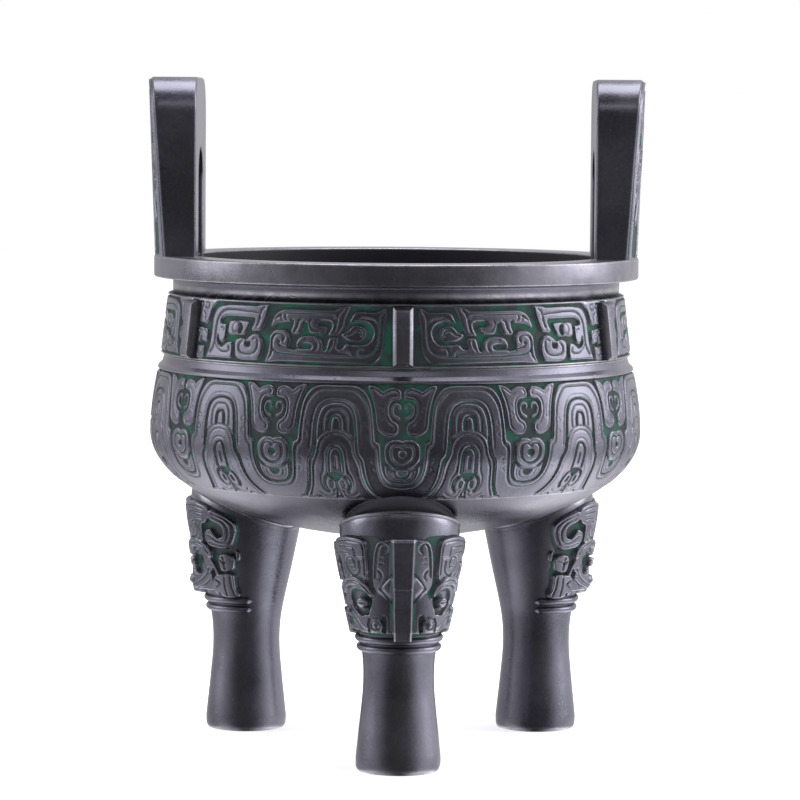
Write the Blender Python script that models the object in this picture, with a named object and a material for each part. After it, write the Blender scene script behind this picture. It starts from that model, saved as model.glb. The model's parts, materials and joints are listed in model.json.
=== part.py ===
"""Bronze ding: a round three-legged cauldron cast in one piece.

The bowl is turned, with a flat rim, a band of dragons cut by six flanges and a broad wave band
under it. Two upright handles stand on the lip. Three turned legs each carry an animal mask.
The two bands are carved panels, repeated round the bowl: a flat outline for every figure, its
top raised over the ground and wrapped round the wall. Handles, flanges, legs and masks are
solids that reach into the bowl's wall and are united with it.

Metres, +Z up. The origin is on the ground at the bowl's axis, and one leg faces -Y.
"""

from math import atan2, cos, hypot, pi, radians, sin, sqrt

import bmesh
import bpy
from mathutils import Matrix, Vector
from mathutils.geometry import delaunay_2d_cdt

MM = 0.001

# Driving sizes of the bowl. A depth is measured down from the top of the rim.
RIM_RADIUS = 0.110
RIM_HEIGHT = 0.2225
RIM_DEPTH = 0.0097
MOUTH_RADIUS = 0.0915
NECK_RADIUS = 0.1014
WALL = 0.0045
LOWEST_DEPTH = 0.1225
BOWL_SIDES = 48
MOUTH_SIDES = 28
RING_DROP = 0.0002

# The dragon band: a slightly flared ring between two plain mouldings.
DRAGON_TOP = 0.0172
DRAGON_BOTTOM = 0.0445
DRAGON_TOP_RADIUS = 0.1026
DRAGON_BOTTOM_RADIUS = 0.1058
DRAGON_PITCH_RADIUS = 0.1056
DRAGON_PANELS = 6

# The wave band: it swells to the widest point of the belly and turns under.
BELLY_RADIUS = 0.1121
BELLY_DEPTH = 0.0798
BELLY_POWER = 2.15
SHOULDER_RADIUS = 0.1083
WAVE_TOP = 0.0512
WAVE_HEIGHT = 0.0520
WAVES = 12

# How far the carving stands up, and how far a united solid reaches into the bronze.
RELIEF = 0.0012
SUNK = 0.0011
SLOPE = 0.00025

# Flanges: six upright ribs across the dragon band.
FLANGES = 6
FLANGE_WIDTH = 0.0088
FLANGE_TOP = 0.0182
FLANGE_BOTTOM = 0.0438
FLANGE_REACH = 0.0046
FLANGE_CHAMFER = 0.0016

# Handles on the lip.
EAR_HEIGHT = 0.0800
EAR_HALF_WIDTH = 0.0341
EAR_GAP_HALF_WIDTH = 0.0154
EAR_GAP_HEIGHT = 0.0485
EAR_SHOULDER = 0.013
EAR_INNER_X = 0.0903
EAR_FLARE = 0.0024
EAR_STRAIGHTEN = 0.6
EAR_ROOT = 0.004
EAR_TURN = radians(-2.5)
EAR_CORNER_STEPS = 4

# Legs.
LEG_ANGLES = (radians(-90.0), radians(30.0), radians(150.0))
LEG_CENTRE = 0.0784
LEG_SIDES = 14
RING_DEPTHS = (0.1616, 0.1657)
RING_HALF_TURN = radians(127.0)
RING_WIDTH = 0.0038
RING_LIFT = 0.0019
RING_STEPS = 6

# How far each leg's mask and rings are turned and set lower: each leg was finished by hand.
MASK_PLACES = ((radians(2.0), 0.0024), (0.0, 0.0), (radians(2.5), 0.0))

# Radius of the plain leg at a few depths.
LEG_PROFILE = (
    (0.1012, 0.0195),
    (0.1062, 0.0250),
    (0.1190, 0.0262),
    (0.1420, 0.0221),
    (0.1640, 0.0173),
    (0.1740, 0.0158),
    (0.1850, 0.0156),
    (0.2105, 0.0180),
    (0.2185, 0.0187),
    (0.2225, 0.0176),
)

# Figures of the wave band, in mm of (across, down). The wave runs from the crest of an arch to
# the middle of a valley, with its width; the bell hangs under the arch as (down, half width).
WAVE_LINE = (
    (0.0, 4.2, 6.4),
    (7.4, 6.2, 6.4),
    (12.2, 13.0, 6.5),
    (13.8, 24.2, 6.6),
    (16.4, 31.0, 6.0),
    (20.6, 42.6, 6.0),
    (28.8, 46.8, 6.4),
)
BELL_ROWS = (
    (8.6, 3.0),
    (11.6, 6.6),
    (30.6, 8.2),
    (34.0, 10.6),
    (42.6, 13.6),
    (50.2, 18.2),
)

# Half of the heart and one of the two tail plates over it, measured from the valley's middle.
HALF_HEART = (
    (0.0, 21.8),
    (3.6, 20.9),
    (6.9, 25.4),
    (5.6, 31.4),
    (0.0, 34.2),
)
TAIL_PLATE = (
    (1.9, 1.4),
    (12.8, 1.4),
    (8.0, 17.6),
    (1.9, 19.2),
    (4.4, 10.0),
)

# Figures of a dragon panel, measured from one flange: strips as mm of (across, down, width).
DRAGON_BODY = (
    (8.0, 2.0, 0.8),
    (11.4, 11.0, 3.2),
    (12.6, 20.4, 3.6),
    (20.0, 23.7, 3.6),
    (60.0, 24.6, 4.0),
)
DRAGON_BEAK = (
    (24.6, 1.6, 1.0),
    (28.4, 4.7, 3.2),
    (50.0, 5.2, 3.8),
    (59.0, 9.6, 0.8),
)
DRAGON_TAIL = (
    (51.4, 17.8, 2.0),
    (52.6, 14.2, 3.0),
    (57.4, 15.0, 3.4),
    (58.2, 20.4, 3.0),
)
EYE_BRACKET = (
    (63.0, 1.6, 1.0),
    (66.6, 5.2, 3.4),
    (85.0, 5.0, 4.0),
    (91.4, 10.4, 3.8),
    (91.8, 21.4, 3.8),
    (95.6, 26.0, 1.4),
)
EYE_CURL = (
    (66.4, 14.8, 2.4),
    (67.0, 22.0, 3.4),
    (75.2, 22.8, 3.4),
)
SIDE_LEAF = (
    (97.4, 2.0, 1.2),
    (101.6, 10.4, 3.0),
)
SIDE_STEM = (
    (103.0, 16.0, 2.4),
    (101.0, 25.0, 3.0),
)
DRAGON_STRIPS = (
    DRAGON_BODY,
    DRAGON_BEAK,
    DRAGON_TAIL,
    EYE_BRACKET,
    EYE_CURL,
    SIDE_LEAF,
    SIDE_STEM,
)

# Coiled head and eye of the dragon panel, in mm of (across, down, radius).
DRAGON_BOSSES = (
    (20.4, 12.6, 4.6),
    (79.0, 12.4, 3.4),
)

# Half of an animal mask on a leg: strips as (degrees from the nose, then mm of depth, width and
# lift), with lengths round the leg taken at one radius. The plates lie beside each other, and
# the ridges cross them.
MASK_RADIUS = 0.023
MASK_FOREHEAD = (
    (14.0, 116.2, 9.6, 2.2),
    (15.4, 131.6, 11.4, 2.2),
)
MASK_FACE = (
    (16.0, 132.6, 11.4, 2.0),
    (17.6, 157.2, 12.6, 4.8),
)
MASK_HORN = (
    (57.0, 116.2, 15.4, 2.6),
    (54.0, 134.2, 12.6, 2.6),
)
MASK_SPIRAL = (
    (93.0, 120.6, 11.4, 2.4),
    (90.0, 136.6, 12.0, 2.4),
)
MASK_LEAF = (
    (97.0, 139.6, 7.6, 2.6),
    (96.0, 147.0, 7.0, 2.6),
)
MASK_PLATES = (MASK_FOREHEAD, MASK_FACE, MASK_HORN, MASK_SPIRAL, MASK_LEAF)
MASK_BROW = (
    (30.0, 139.4, 2.4, 4.0),
    (44.0, 134.8, 2.8, 4.0),
    (64.0, 135.2, 2.8, 3.6),
    (78.0, 139.4, 3.0, 3.0),
)
MASK_TAIL = (
    (40.0, 153.6, 6.6, 4.2),
    (70.0, 153.2, 8.6, 3.5),
    (104.0, 154.6, 8.6, 2.2),
)
MASK_RIDGES = (MASK_BROW, MASK_TAIL)

# Eye and cheek knob of the mask: (degrees from the nose, then mm of depth, radius and lift).
MASK_BOSSES = (
    (42.5, 144.1, 2.8, 5.2),
    (26.0, 153.4, 3.0, 6.4),
)

# Nose of the mask, as (depth, reach from the leg's axis, half width).
NOSE_ROWS = (
    (0.1150, 0.0294, 0.0054),
    (0.1170, 0.0304, 0.0054),
    (0.1262, 0.0288, 0.0051),
    (0.1376, 0.0281, 0.0048),
    (0.1460, 0.0268, 0.0046),
    (0.1560, 0.0273, 0.0044),
    (0.1606, 0.0262, 0.0043),
)
NOSE_ROOT = 0.012
NOSE_CHAMFER = 0.0011

BRONZE_COLOUR = (0.105, 0.098, 0.110, 1.0)
BRONZE_METALLIC = 0.9
BRONZE_ROUGHNESS = 0.42


def clear_scene():
    """Remove every object, so that only the vessel is left."""
    for item in list(bpy.data.objects):
        bpy.data.objects.remove(item, do_unlink=True)


def bronze():
    """Return the dark, softly polished bronze."""
    material = bpy.data.materials.new("dark_bronze")
    material.use_nodes = True
    shader = material.node_tree.nodes["Principled BSDF"]
    shader.inputs["Base Color"].default_value = BRONZE_COLOUR
    shader.inputs["Metallic"].default_value = BRONZE_METALLIC
    shader.inputs["Roughness"].default_value = BRONZE_ROUGHNESS
    return material


def new_object(name, mesh, material):
    """Turn a bmesh into a visible object with its faces pointing out."""
    bmesh.ops.recalc_face_normals(mesh, faces=mesh.faces)
    data = bpy.data.meshes.new(name)
    mesh.to_mesh(data)
    mesh.free()
    data.materials.append(material)
    item = bpy.data.objects.new(name, data)
    bpy.context.scene.collection.objects.link(item)
    return item


def combine(vessel, name, mesh, material, operation="UNION"):
    """Join another solid to the vessel, or cut it away, and keep it as a wire-drawn helper."""
    other = new_object(name, mesh, material)
    other.hide_render = True
    other.display_type = "WIRE"
    step = vessel.modifiers.new(name, "BOOLEAN")
    step.operation = operation
    step.solver = "EXACT"
    step.object = other


def in_metres(rows):
    """Turn rows of millimetres into rows of metres."""
    return [tuple(size * MM for size in row) for row in rows]


def between(rows, value):
    """Read a table of (position, size) at a position, along straight lines."""
    for (start, low), (end, high) in zip(rows, rows[1:]):
        if value <= end:
            share = max(0.0, (value - start) / (end - start))
            return low + (high - low) * share
    return rows[-1][1]


# Profile of the bowl --------------------------------------------------------------------------


def belly_radius(depth, inset=0.0):
    """Radius of the belly at a depth, or of the surface that lies an inset inside it."""
    widest = BELLY_RADIUS - inset
    if depth <= BELLY_DEPTH:
        share = (BELLY_DEPTH - depth) / (BELLY_DEPTH - WAVE_TOP)
        return widest - (BELLY_RADIUS - SHOULDER_RADIUS) * share**2
    share = min(1.0, (depth - BELLY_DEPTH) / (LOWEST_DEPTH - inset - BELLY_DEPTH))
    return widest * (1.0 - share**BELLY_POWER) ** (1.0 / BELLY_POWER)


def wave_ground(depth):
    """Radius of the sunk ground of the wave band."""
    return belly_radius(depth) - RELIEF


def wave_depth(down):
    """Depth reached after going down the wall of the wave band by a length."""
    step = 0.0004
    depth = WAVE_TOP
    while down > 1e-9:
        slant = hypot(step, belly_radius(depth + step) - belly_radius(depth))
        depth += step * min(1.0, down / slant)
        down -= slant
    return depth


def dragon_ground(depth):
    """Radius of the ground of the dragon band."""
    share = (depth - DRAGON_TOP) / (DRAGON_BOTTOM - DRAGON_TOP)
    return DRAGON_TOP_RADIUS + (DRAGON_BOTTOM_RADIUS - DRAGON_TOP_RADIUS) * share


# Walls: each turns (across, down, lift) into a point in space ---------------------------------


def bowl_point(angle, depth, radius_of, lift):
    """Point on the bowl's wall at an angle round from -Y, lifted square to the wall."""
    step = 0.0005
    lean = atan2(radius_of(depth - step) - radius_of(depth + step), 2.0 * step)
    radius = radius_of(depth) + lift * cos(lean)
    height = RIM_HEIGHT - depth - lift * sin(lean)
    return Vector((radius * sin(angle), -radius * cos(angle), height))


def wave_wall(middle):
    """Wall of the wave band, with across measured from an angle and down along the wall."""

    def point(across, down, lift):
        angle = middle + across / RIM_RADIUS
        return bowl_point(angle, wave_depth(down), wave_ground, lift)

    return point


def dragon_wall(start, side):
    """Wall of the dragon band, with across measured from a flange towards one side."""

    def point(across, down, lift):
        angle = start + side * across / DRAGON_PITCH_RADIUS
        return bowl_point(angle, DRAGON_TOP + down, dragon_ground, lift)

    return point


def leg_wall(leg_angle, side=1.0, turned=0.0, drop=0.0):
    """Surface of a leg, with across measured round it from its front and down as a depth."""
    centre = Vector((cos(leg_angle), sin(leg_angle), 0.0)) * LEG_CENTRE

    def point(across, depth, lift):
        depth += drop
        radius = between(LEG_PROFILE, depth) + lift
        angle = leg_angle + turned + side * across / MASK_RADIUS
        out = Vector((cos(angle), sin(angle), 0.0)) * radius
        return centre + out + Vector((0.0, 0.0, RIM_HEIGHT - depth))

    return point


# Solids and carved panels ---------------------------------------------------------------------


def add_turned(mesh, profile, sides):
    """Add a surface turned from (radius, depth) points, in faces that are flat."""
    rings = []
    for radius, depth in profile:
        height = RIM_HEIGHT - depth
        turns = [2.0 * pi * i / sides for i in range(sides if radius > 0.0 else 1)]
        ring = [(radius * sin(turn), -radius * cos(turn), height) for turn in turns]
        rings.append([mesh.verts.new(place) for place in ring])
    for upper, lower in zip(rings, rings[1:]):
        for i in range(sides):
            j = (i + 1) % sides
            corners = [upper[i % len(upper)], lower[i % len(lower)]]
            corners += [lower[j % len(lower)], upper[j % len(upper)]]
            mesh.faces.new(list(dict.fromkeys(corners)))


def add_solid(mesh, rings):
    """Skin a row of equal rings of points into a closed solid, all in triangles."""
    count = len(rings[0])
    made = [[mesh.verts.new(corner) for corner in ring] for ring in rings]
    faces = [mesh.faces.new(made[0][::-1]), mesh.faces.new(made[-1])]
    for first, second in zip(made, made[1:]):
        for i in range(count):
            j = (i + 1) % count
            faces.append(mesh.faces.new((first[i], first[j], second[j], second[i])))
    bmesh.ops.triangulate(mesh, faces=faces)


def strip_sides(stations):
    """Left and right edges of a strip along stations that start with (across, down, width)."""
    left, right = [], []
    last = len(stations) - 1
    for i, (across, down, width, *_) in enumerate(stations):
        before = stations[max(i - 1, 0)]
        after = stations[min(i + 1, last)]
        arrive = Vector((across - before[0], down - before[1]))
        leave = Vector((after[0] - across, after[1] - down))
        ways = [way.normalized() for way in (arrive, leave) if way.length > 0.0]
        along = sum(ways, Vector((0.0, 0.0))).normalized()
        reach = width / 2.0 / max(0.7, along.dot(ways[0]))
        left.append((across - along.y * reach, down + along.x * reach))
        right.append((across + along.y * reach, down - along.x * reach))
    return left, right


def strip_outline(stations):
    """Closed outline of a flat strip."""
    left, right = strip_sides(stations)
    return left + right[::-1]


def round_outline(across, down, radius, sides):
    """Outline of a round boss."""
    turns = [2.0 * pi * i / sides for i in range(sides)]
    return [(across + radius * cos(turn), down + radius * sin(turn)) for turn in turns]


def add_strip(mesh, wall, stations):
    """Add a raised strip that follows stations of (across, down, width, lift) over a wall."""
    feet = strip_sides([(x, y, width + 2.0 * SLOPE) for x, y, width, _ in stations])
    crests = strip_sides([(x, y, width - 2.0 * SLOPE) for x, y, width, _ in stations])
    rings = []
    for i, (*_, lift) in enumerate(stations):
        corners = [wall(*feet[0][i], -SUNK), wall(*feet[1][i], -SUNK)]
        corners += [wall(*crests[1][i], lift), wall(*crests[0][i], lift)]
        rings.append(corners)
    add_solid(mesh, rings)


def add_boss(mesh, wall, across, down, radius, lift, sides=6):
    """Add a round knob with sloping sides."""
    foot = round_outline(across, down, radius * 1.1, sides)
    crown = round_outline(across, down, radius * 0.7, sides)
    add_solid(mesh, [[wall(*p, -SUNK) for p in foot], [wall(*p, lift) for p in crown]])


def anticlockwise(outline):
    """Return an outline's points in anticlockwise order, as the triangulation needs them."""
    pairs = zip(outline, outline[1:] + outline[:1])
    area = sum(x0 * y1 - x1 * y0 for (x0, y0), (x1, y1) in pairs)
    return outline if area > 0.0 else outline[::-1]


def add_carved_panel(mesh, wall, frame, figures, inner_points=()):
    """Add one repeat of a band: its ground, its raised figures and the steps between them.

    The frame is the panel's own outline, and the inner points bend the larger figures round the
    wall. All of them are (across, down), and the wall turns them into space.
    """
    points, loops = [], []
    for outline in (frame, *figures):
        loops.append(list(range(len(points), len(points) + len(outline))))
        points += [Vector(point) for point in anticlockwise(outline)]
    points += [Vector(point) for point in inner_points]
    inside_only, tolerance = 1, 1e-7
    places, _, faces, _, _, owners = delaunay_2d_cdt(points, [], loops, inside_only, tolerance)
    made = {}

    def corner(index, raised):
        if (index, raised) not in made:
            made[index, raised] = mesh.verts.new(wall(*places[index], RELIEF if raised else 0.0))
        return made[index, raised]

    raised_edges, ground_edges = set(), set()
    for face, owner in zip(faces, owners):
        raised = any(loop > 0 for loop in owner)
        mesh.faces.new([corner(index, raised) for index in face])
        edges = raised_edges if raised else ground_edges
        edges.update(zip(face, face[1:] + face[:1]))
    for start, end in sorted(raised_edges):
        if (end, start) in ground_edges:
            step = [corner(end, True), corner(start, True)]
            mesh.faces.new(step + [corner(start, False), corner(end, False)])


# The bowl -------------------------------------------------------------------------------------


def panel_frame(start, end, height, steps):
    """Outline of a panel, with its long edges cut to meet the turned rings next to it."""
    edge = [start + (end - start) * i / steps for i in range(steps + 1)]
    return [(x, 0.0) for x in edge] + [(x, height) for x in reversed(edge)]


def add_wave_band(mesh):
    """Add twelve repeats of the wave, each with its bell, hearts and tail plates.

    The ribbon's line is carried one station past both edges, so that it meets its neighbours.
    """
    half = pi * RIM_RADIUS / WAVES
    line = in_metres(WAVE_LINE)
    line[-1] = (half, *line[-1][1:])
    across, *sizes = line[-2]
    line.append((2.0 * half - across, *sizes))
    left, right = strip_sides([(-x, y, width) for x, y, width in reversed(line[1:])] + line)
    bell = in_metres(BELL_ROWS)
    figures = [left[1:-1] + right[-2:0:-1]]
    brim = [(0.0, bell[-1][0])]
    figures.append([(-x, y) for y, x in bell] + brim + [(x, y) for y, x in reversed(bell)])
    for side in (1.0, -1.0):
        for outline in (HALF_HEART, TAIL_PLATE):
            figures.append([(side * (half - x), y) for x, y in in_metres(outline)])
    frame = panel_frame(-half, half, WAVE_HEIGHT, BOWL_SIDES // WAVES)
    spine = [(0.0, y) for y, _ in bell[1:-1]]
    for wave in range(WAVES):
        wall = wave_wall(2.0 * pi * (wave + 0.5) / WAVES)
        add_carved_panel(mesh, wall, frame, figures, spine)


def add_dragon_band(mesh):
    """Add six panels of dragons between the flanges, each the mirror of its neighbour."""
    length = 2.0 * pi * DRAGON_PITCH_RADIUS / DRAGON_PANELS
    figures = [strip_outline(in_metres(strip)) for strip in DRAGON_STRIPS]
    figures += [round_outline(*boss, 6) for boss in in_metres(DRAGON_BOSSES)]
    height = DRAGON_BOTTOM - DRAGON_TOP
    frame = panel_frame(0.0, length, height, BOWL_SIDES // DRAGON_PANELS)
    for panel in range(DRAGON_PANELS):
        mirrored = panel % 2
        start = 2.0 * pi * (panel + mirrored) / DRAGON_PANELS
        add_carved_panel(mesh, dragon_wall(start, 1.0 - 2.0 * mirrored), frame, figures)


def bowl_outside():
    """The bowl as a full solid: turned rings with the two carved bands between them."""
    mesh = bmesh.new()
    foot = wave_depth(WAVE_HEIGHT)
    rim = (
        (0.0, 0.0),
        (RIM_RADIUS, 0.0),
        (RIM_RADIUS, RIM_DEPTH),
        (NECK_RADIUS, RIM_DEPTH + 0.0006),
        (NECK_RADIUS, DRAGON_TOP - RING_DROP),
        (DRAGON_TOP_RADIUS, DRAGON_TOP),
    )
    cove = (
        (DRAGON_BOTTOM_RADIUS, DRAGON_BOTTOM),
        (SHOULDER_RADIUS - 0.0030, DRAGON_BOTTOM + 0.0022),
        (SHOULDER_RADIUS, WAVE_TOP - RING_DROP),
        (wave_ground(WAVE_TOP), WAVE_TOP),
    )
    base = [(wave_ground(foot), foot), (belly_radius(foot + RING_DROP), foot + RING_DROP)]
    base += [(belly_radius(depth), depth) for depth in (0.1080, 0.1150, 0.1200)]
    base.append((0.0, LOWEST_DEPTH))
    for profile in (rim, cove, base):
        add_turned(mesh, profile, BOWL_SIDES)
    add_dragon_band(mesh)
    add_wave_band(mesh)
    bmesh.ops.remove_doubles(mesh, verts=mesh.verts, dist=0.00001)
    return mesh


def bowl_inside():
    """The hollow, from above the mouth down to the lowest point of the floor."""
    mesh = bmesh.new()
    depths = (0.0460, 0.0800, 0.0980, 0.1090, 0.1150)
    profile = [
        (0.0, -0.01),
        (MOUTH_RADIUS, -0.01),
        (MOUTH_RADIUS, 0.012),
        (MOUTH_RADIUS + 0.0048, 0.023),
        *((belly_radius(depth, WALL + RELIEF), depth) for depth in depths),
        (0.0, LOWEST_DEPTH - WALL - RELIEF),
    ]
    add_turned(mesh, profile, MOUTH_SIDES)
    return mesh


def flanges():
    """Six upright ribs with chamfered ends and edges."""
    mesh = bmesh.new()
    half = FLANGE_WIDTH / 2.0
    rows = (
        (FLANGE_TOP, FLANGE_REACH - FLANGE_CHAMFER),
        (FLANGE_TOP + FLANGE_CHAMFER, FLANGE_REACH),
        (FLANGE_BOTTOM - FLANGE_CHAMFER, FLANGE_REACH),
        (FLANGE_BOTTOM, FLANGE_REACH - FLANGE_CHAMFER),
    )
    for flange in range(FLANGES):
        angle = 2.0 * pi * flange / FLANGES
        out = Vector((sin(angle), -cos(angle), 0.0))
        aside = Vector((cos(angle), sin(angle), 0.0))
        rings = []
        for depth, reach in rows:
            ground = dragon_ground(depth)
            edge = ground + reach - FLANGE_CHAMFER
            face = ground + reach
            narrow = half - FLANGE_CHAMFER
            section = ((ground - 2.0 * SUNK, -half), (ground - 2.0 * SUNK, half), (edge, half))
            section += ((face, narrow), (face, -narrow), (edge, -half))
            height = Vector((0.0, 0.0, RIM_HEIGHT - depth))
            rings.append([out * r + aside * a + height for r, a in section])
        add_solid(mesh, rings)
    return mesh


# Legs and masks -------------------------------------------------------------------------------


def legs():
    """Three turned legs, from inside the bowl's wall down to the ground."""
    mesh = bmesh.new()
    turns = [2.0 * pi * MASK_RADIUS * i / LEG_SIDES for i in range(LEG_SIDES)]
    for leg_angle in LEG_ANGLES:
        wall = leg_wall(leg_angle)
        made = []
        for depth, _ in LEG_PROFILE:
            made.append([mesh.verts.new(wall(turn, depth, 0.0)) for turn in turns])
        mesh.faces.new(made[0][::-1])
        mesh.faces.new(made[-1])
        for first, second in zip(made, made[1:]):
            for i in range(LEG_SIDES):
                j = (i + 1) % LEG_SIDES
                mesh.faces.new((first[i], first[j], second[j], second[i]))
    return mesh


def leg_rings():
    """Two bead rings round the outward half of each leg, under the mask."""
    mesh = bmesh.new()
    foot = RING_WIDTH / 2.0
    for leg_angle, place in zip(LEG_ANGLES, MASK_PLACES):
        wall = leg_wall(leg_angle, 1.0, *place)
        for depth in RING_DEPTHS:
            rings = []
            for i in range(RING_STEPS + 1):
                across = MASK_RADIUS * RING_HALF_TURN * (2.0 * i / RING_STEPS - 1.0)
                lift = RING_LIFT if 0 < i < RING_STEPS else RING_LIFT / 4.0
                corners = [wall(across, depth - foot, -SUNK), wall(across, depth + foot, -SUNK)]
                rings.append(corners + [wall(across, depth, lift)])
            add_solid(mesh, rings)
    return mesh


def mask_noses():
    """The upright rib down the middle of each mask."""
    mesh = bmesh.new()
    for leg_angle, (turned, drop) in zip(LEG_ANGLES, MASK_PLACES):
        centre = Vector((cos(leg_angle), sin(leg_angle), 0.0)) * LEG_CENTRE
        facing = leg_angle + turned
        out = Vector((cos(facing), sin(facing), 0.0))
        aside = Vector((-sin(facing), cos(facing), 0.0))
        rings = []
        for depth, reach, half in NOSE_ROWS:
            edge = reach - NOSE_CHAMFER
            narrow = half - NOSE_CHAMFER
            section = ((NOSE_ROOT, -half), (NOSE_ROOT, half), (edge, half))
            section += ((reach, narrow), (reach, -narrow), (edge, -half))
            height = Vector((0.0, 0.0, RIM_HEIGHT - depth - drop))
            rings.append([centre + out * r + aside * a + height for r, a in section])
        add_solid(mesh, rings)
    return mesh


def mask_walls():
    """Yield the surface under both halves of each mask."""
    for leg_angle, place in zip(LEG_ANGLES, MASK_PLACES):
        for side in (1.0, -1.0):
            yield leg_wall(leg_angle, side, *place)


def mask_strips(strips):
    """One layer of strips on the three masks."""
    mesh = bmesh.new()
    for wall in mask_walls():
        for strip in strips:
            stations = []
            for turn, *sizes in strip:
                stations.append((radians(turn) * MASK_RADIUS, *in_metres([sizes])[0]))
            add_strip(mesh, wall, stations)
    return mesh


def mask_bosses():
    """Eyes and cheek knobs of the three masks."""
    mesh = bmesh.new()
    for wall in mask_walls():
        for turn, *sizes in MASK_BOSSES:
            depth, radius, lift = in_metres([sizes])[0]
            add_boss(mesh, wall, radians(turn) * MASK_RADIUS, depth, radius, lift)
    return mesh


# Handles --------------------------------------------------------------------------------------


def ear_outer_x(across, height):
    """How far out the handle's outer face lies: round like the rim below, flatter above."""
    share = min(1.0, max(0.0, height / EAR_HEIGHT))
    rim = sqrt(RIM_RADIUS**2 - across**2)
    return rim + (RIM_RADIUS - rim) * EAR_STRAIGHTEN * share + EAR_FLARE * share


def ear_outline():
    """Half of a handle from the lip up to its middle: (outer edge, edge of the opening)."""
    spring = EAR_GAP_HEIGHT - EAR_GAP_HALF_WIDTH
    corner = EAR_HEIGHT - EAR_SHOULDER
    pairs = []
    for height in (-EAR_ROOT, 0.0, spring):
        pairs.append(((EAR_HALF_WIDTH, height), (EAR_GAP_HALF_WIDTH, height)))
    for i in range(EAR_CORNER_STEPS):
        turn = pi / 2.0 * i / EAR_CORNER_STEPS
        rise = pi / 2.0 * (i + 1) / (EAR_CORNER_STEPS + 1)
        across = EAR_HALF_WIDTH - EAR_SHOULDER * (1.0 - cos(turn))
        outer = (across, corner + EAR_SHOULDER * sin(turn))
        inner = (EAR_GAP_HALF_WIDTH * cos(rise), spring + EAR_GAP_HALF_WIDTH * sin(rise))
        pairs.append((outer, inner))
    pairs.append(((0.0, EAR_HEIGHT), (0.0, EAR_GAP_HEIGHT)))
    return pairs


def handles():
    """Two upright handles shaped like an inverted U."""
    mesh = bmesh.new()
    half = ear_outline()
    whole = half + [((-a, b), (-c, d)) for (a, b), (c, d) in reversed(half[:-1])]
    for base in (0.0, pi):
        turn = Matrix.Rotation(base + EAR_TURN, 3, "Z")
        rings = []
        for outer, inner in whole:
            section = [(ear_outer_x(*outer), *outer), (EAR_INNER_X, *outer)]
            section += [(EAR_INNER_X, *inner), (ear_outer_x(*inner), *inner)]
            rings.append([turn @ Vector((x, y, RIM_HEIGHT + z)) for x, y, z in section])
        add_solid(mesh, rings)
    return mesh


def main():
    """Build the vessel."""
    clear_scene()
    metal = bronze()
    vessel = new_object("ding_vessel", bowl_outside(), metal)
    combine(vessel, "legs", legs(), metal)
    combine(vessel, "leg_rings", leg_rings(), metal)
    combine(vessel, "mask_noses", mask_noses(), metal)
    combine(vessel, "mask_plates", mask_strips(MASK_PLATES), metal)
    combine(vessel, "mask_ridges", mask_strips(MASK_RIDGES), metal)
    combine(vessel, "mask_bosses", mask_bosses(), metal)
    combine(vessel, "flanges", flanges(), metal)
    combine(vessel, "hollow", bowl_inside(), metal, "DIFFERENCE")
    combine(vessel, "handles", handles(), metal)


main()
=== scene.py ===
"""Looks of a bronze ding: a round cauldron on three legs, cast in one piece.

Lengths are metres and +Z is up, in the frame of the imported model. Carving is drawn flat, in
millimetres across and down, and then wrapped round the bowl, the handles and the legs. A depth
is measured down from the top of the rim, and an angle goes round from -Y towards +X.
"""

import json
import logging
import math
from collections.abc import Callable, Sequence
from dataclasses import dataclass, field
from enum import Enum

import bmesh
import bpy
import numpy as np
from mathutils import Matrix, Vector


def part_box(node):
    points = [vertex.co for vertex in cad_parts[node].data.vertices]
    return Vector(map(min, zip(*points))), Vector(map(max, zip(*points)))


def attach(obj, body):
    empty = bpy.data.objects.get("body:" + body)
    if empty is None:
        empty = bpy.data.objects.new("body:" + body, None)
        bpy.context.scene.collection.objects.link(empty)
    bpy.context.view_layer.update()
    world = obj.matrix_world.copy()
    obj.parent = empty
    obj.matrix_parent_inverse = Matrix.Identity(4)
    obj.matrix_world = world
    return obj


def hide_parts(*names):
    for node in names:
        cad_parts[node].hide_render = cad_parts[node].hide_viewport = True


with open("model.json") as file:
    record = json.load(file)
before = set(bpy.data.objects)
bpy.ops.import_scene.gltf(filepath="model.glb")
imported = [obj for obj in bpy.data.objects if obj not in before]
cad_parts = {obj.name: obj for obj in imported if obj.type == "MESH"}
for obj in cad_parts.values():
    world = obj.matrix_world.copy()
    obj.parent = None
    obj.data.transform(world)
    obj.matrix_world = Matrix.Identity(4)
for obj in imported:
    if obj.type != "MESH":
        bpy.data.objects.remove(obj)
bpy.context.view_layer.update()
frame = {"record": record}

LOG = logging.getLogger("ding")
MM = 0.001
NODE = "ding_vessel"
BODY = "root"

Point = tuple[float, float]
Points = Sequence[Point]
Triple = tuple[float, float, float]
Colour = tuple[float, float, float, float]
Socket = bpy.types.NodeSocket
Value = float | Socket


def mount_place(name: str) -> Vector:
    """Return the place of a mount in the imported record.

    Args:
        name: The mount's name.

    Returns:
        Its position in metres.
    """
    found = [mount for mount in frame["record"]["mounts"] if mount["name"] == name]
    return Vector(found[0]["pos_m"])


RIM_HEIGHT = mount_place("rim_top").z
LEG_CENTRE = -mount_place("front_foot").y
EAR_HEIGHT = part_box(NODE)[1].z - RIM_HEIGHT

# Each leg's name, the way it faces in degrees, how far its mask is turned and how much lower
# the mask is set, because each leg was finished by hand.
LEG_PLACES = (("front", -90.0, 2.0, 0.0024), ("right", 30.0, 0.0, 0.0), ("left", 150.0, 2.5, 0.0))


# Drawing lines and carving them ---------------------------------------------------------------


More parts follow.
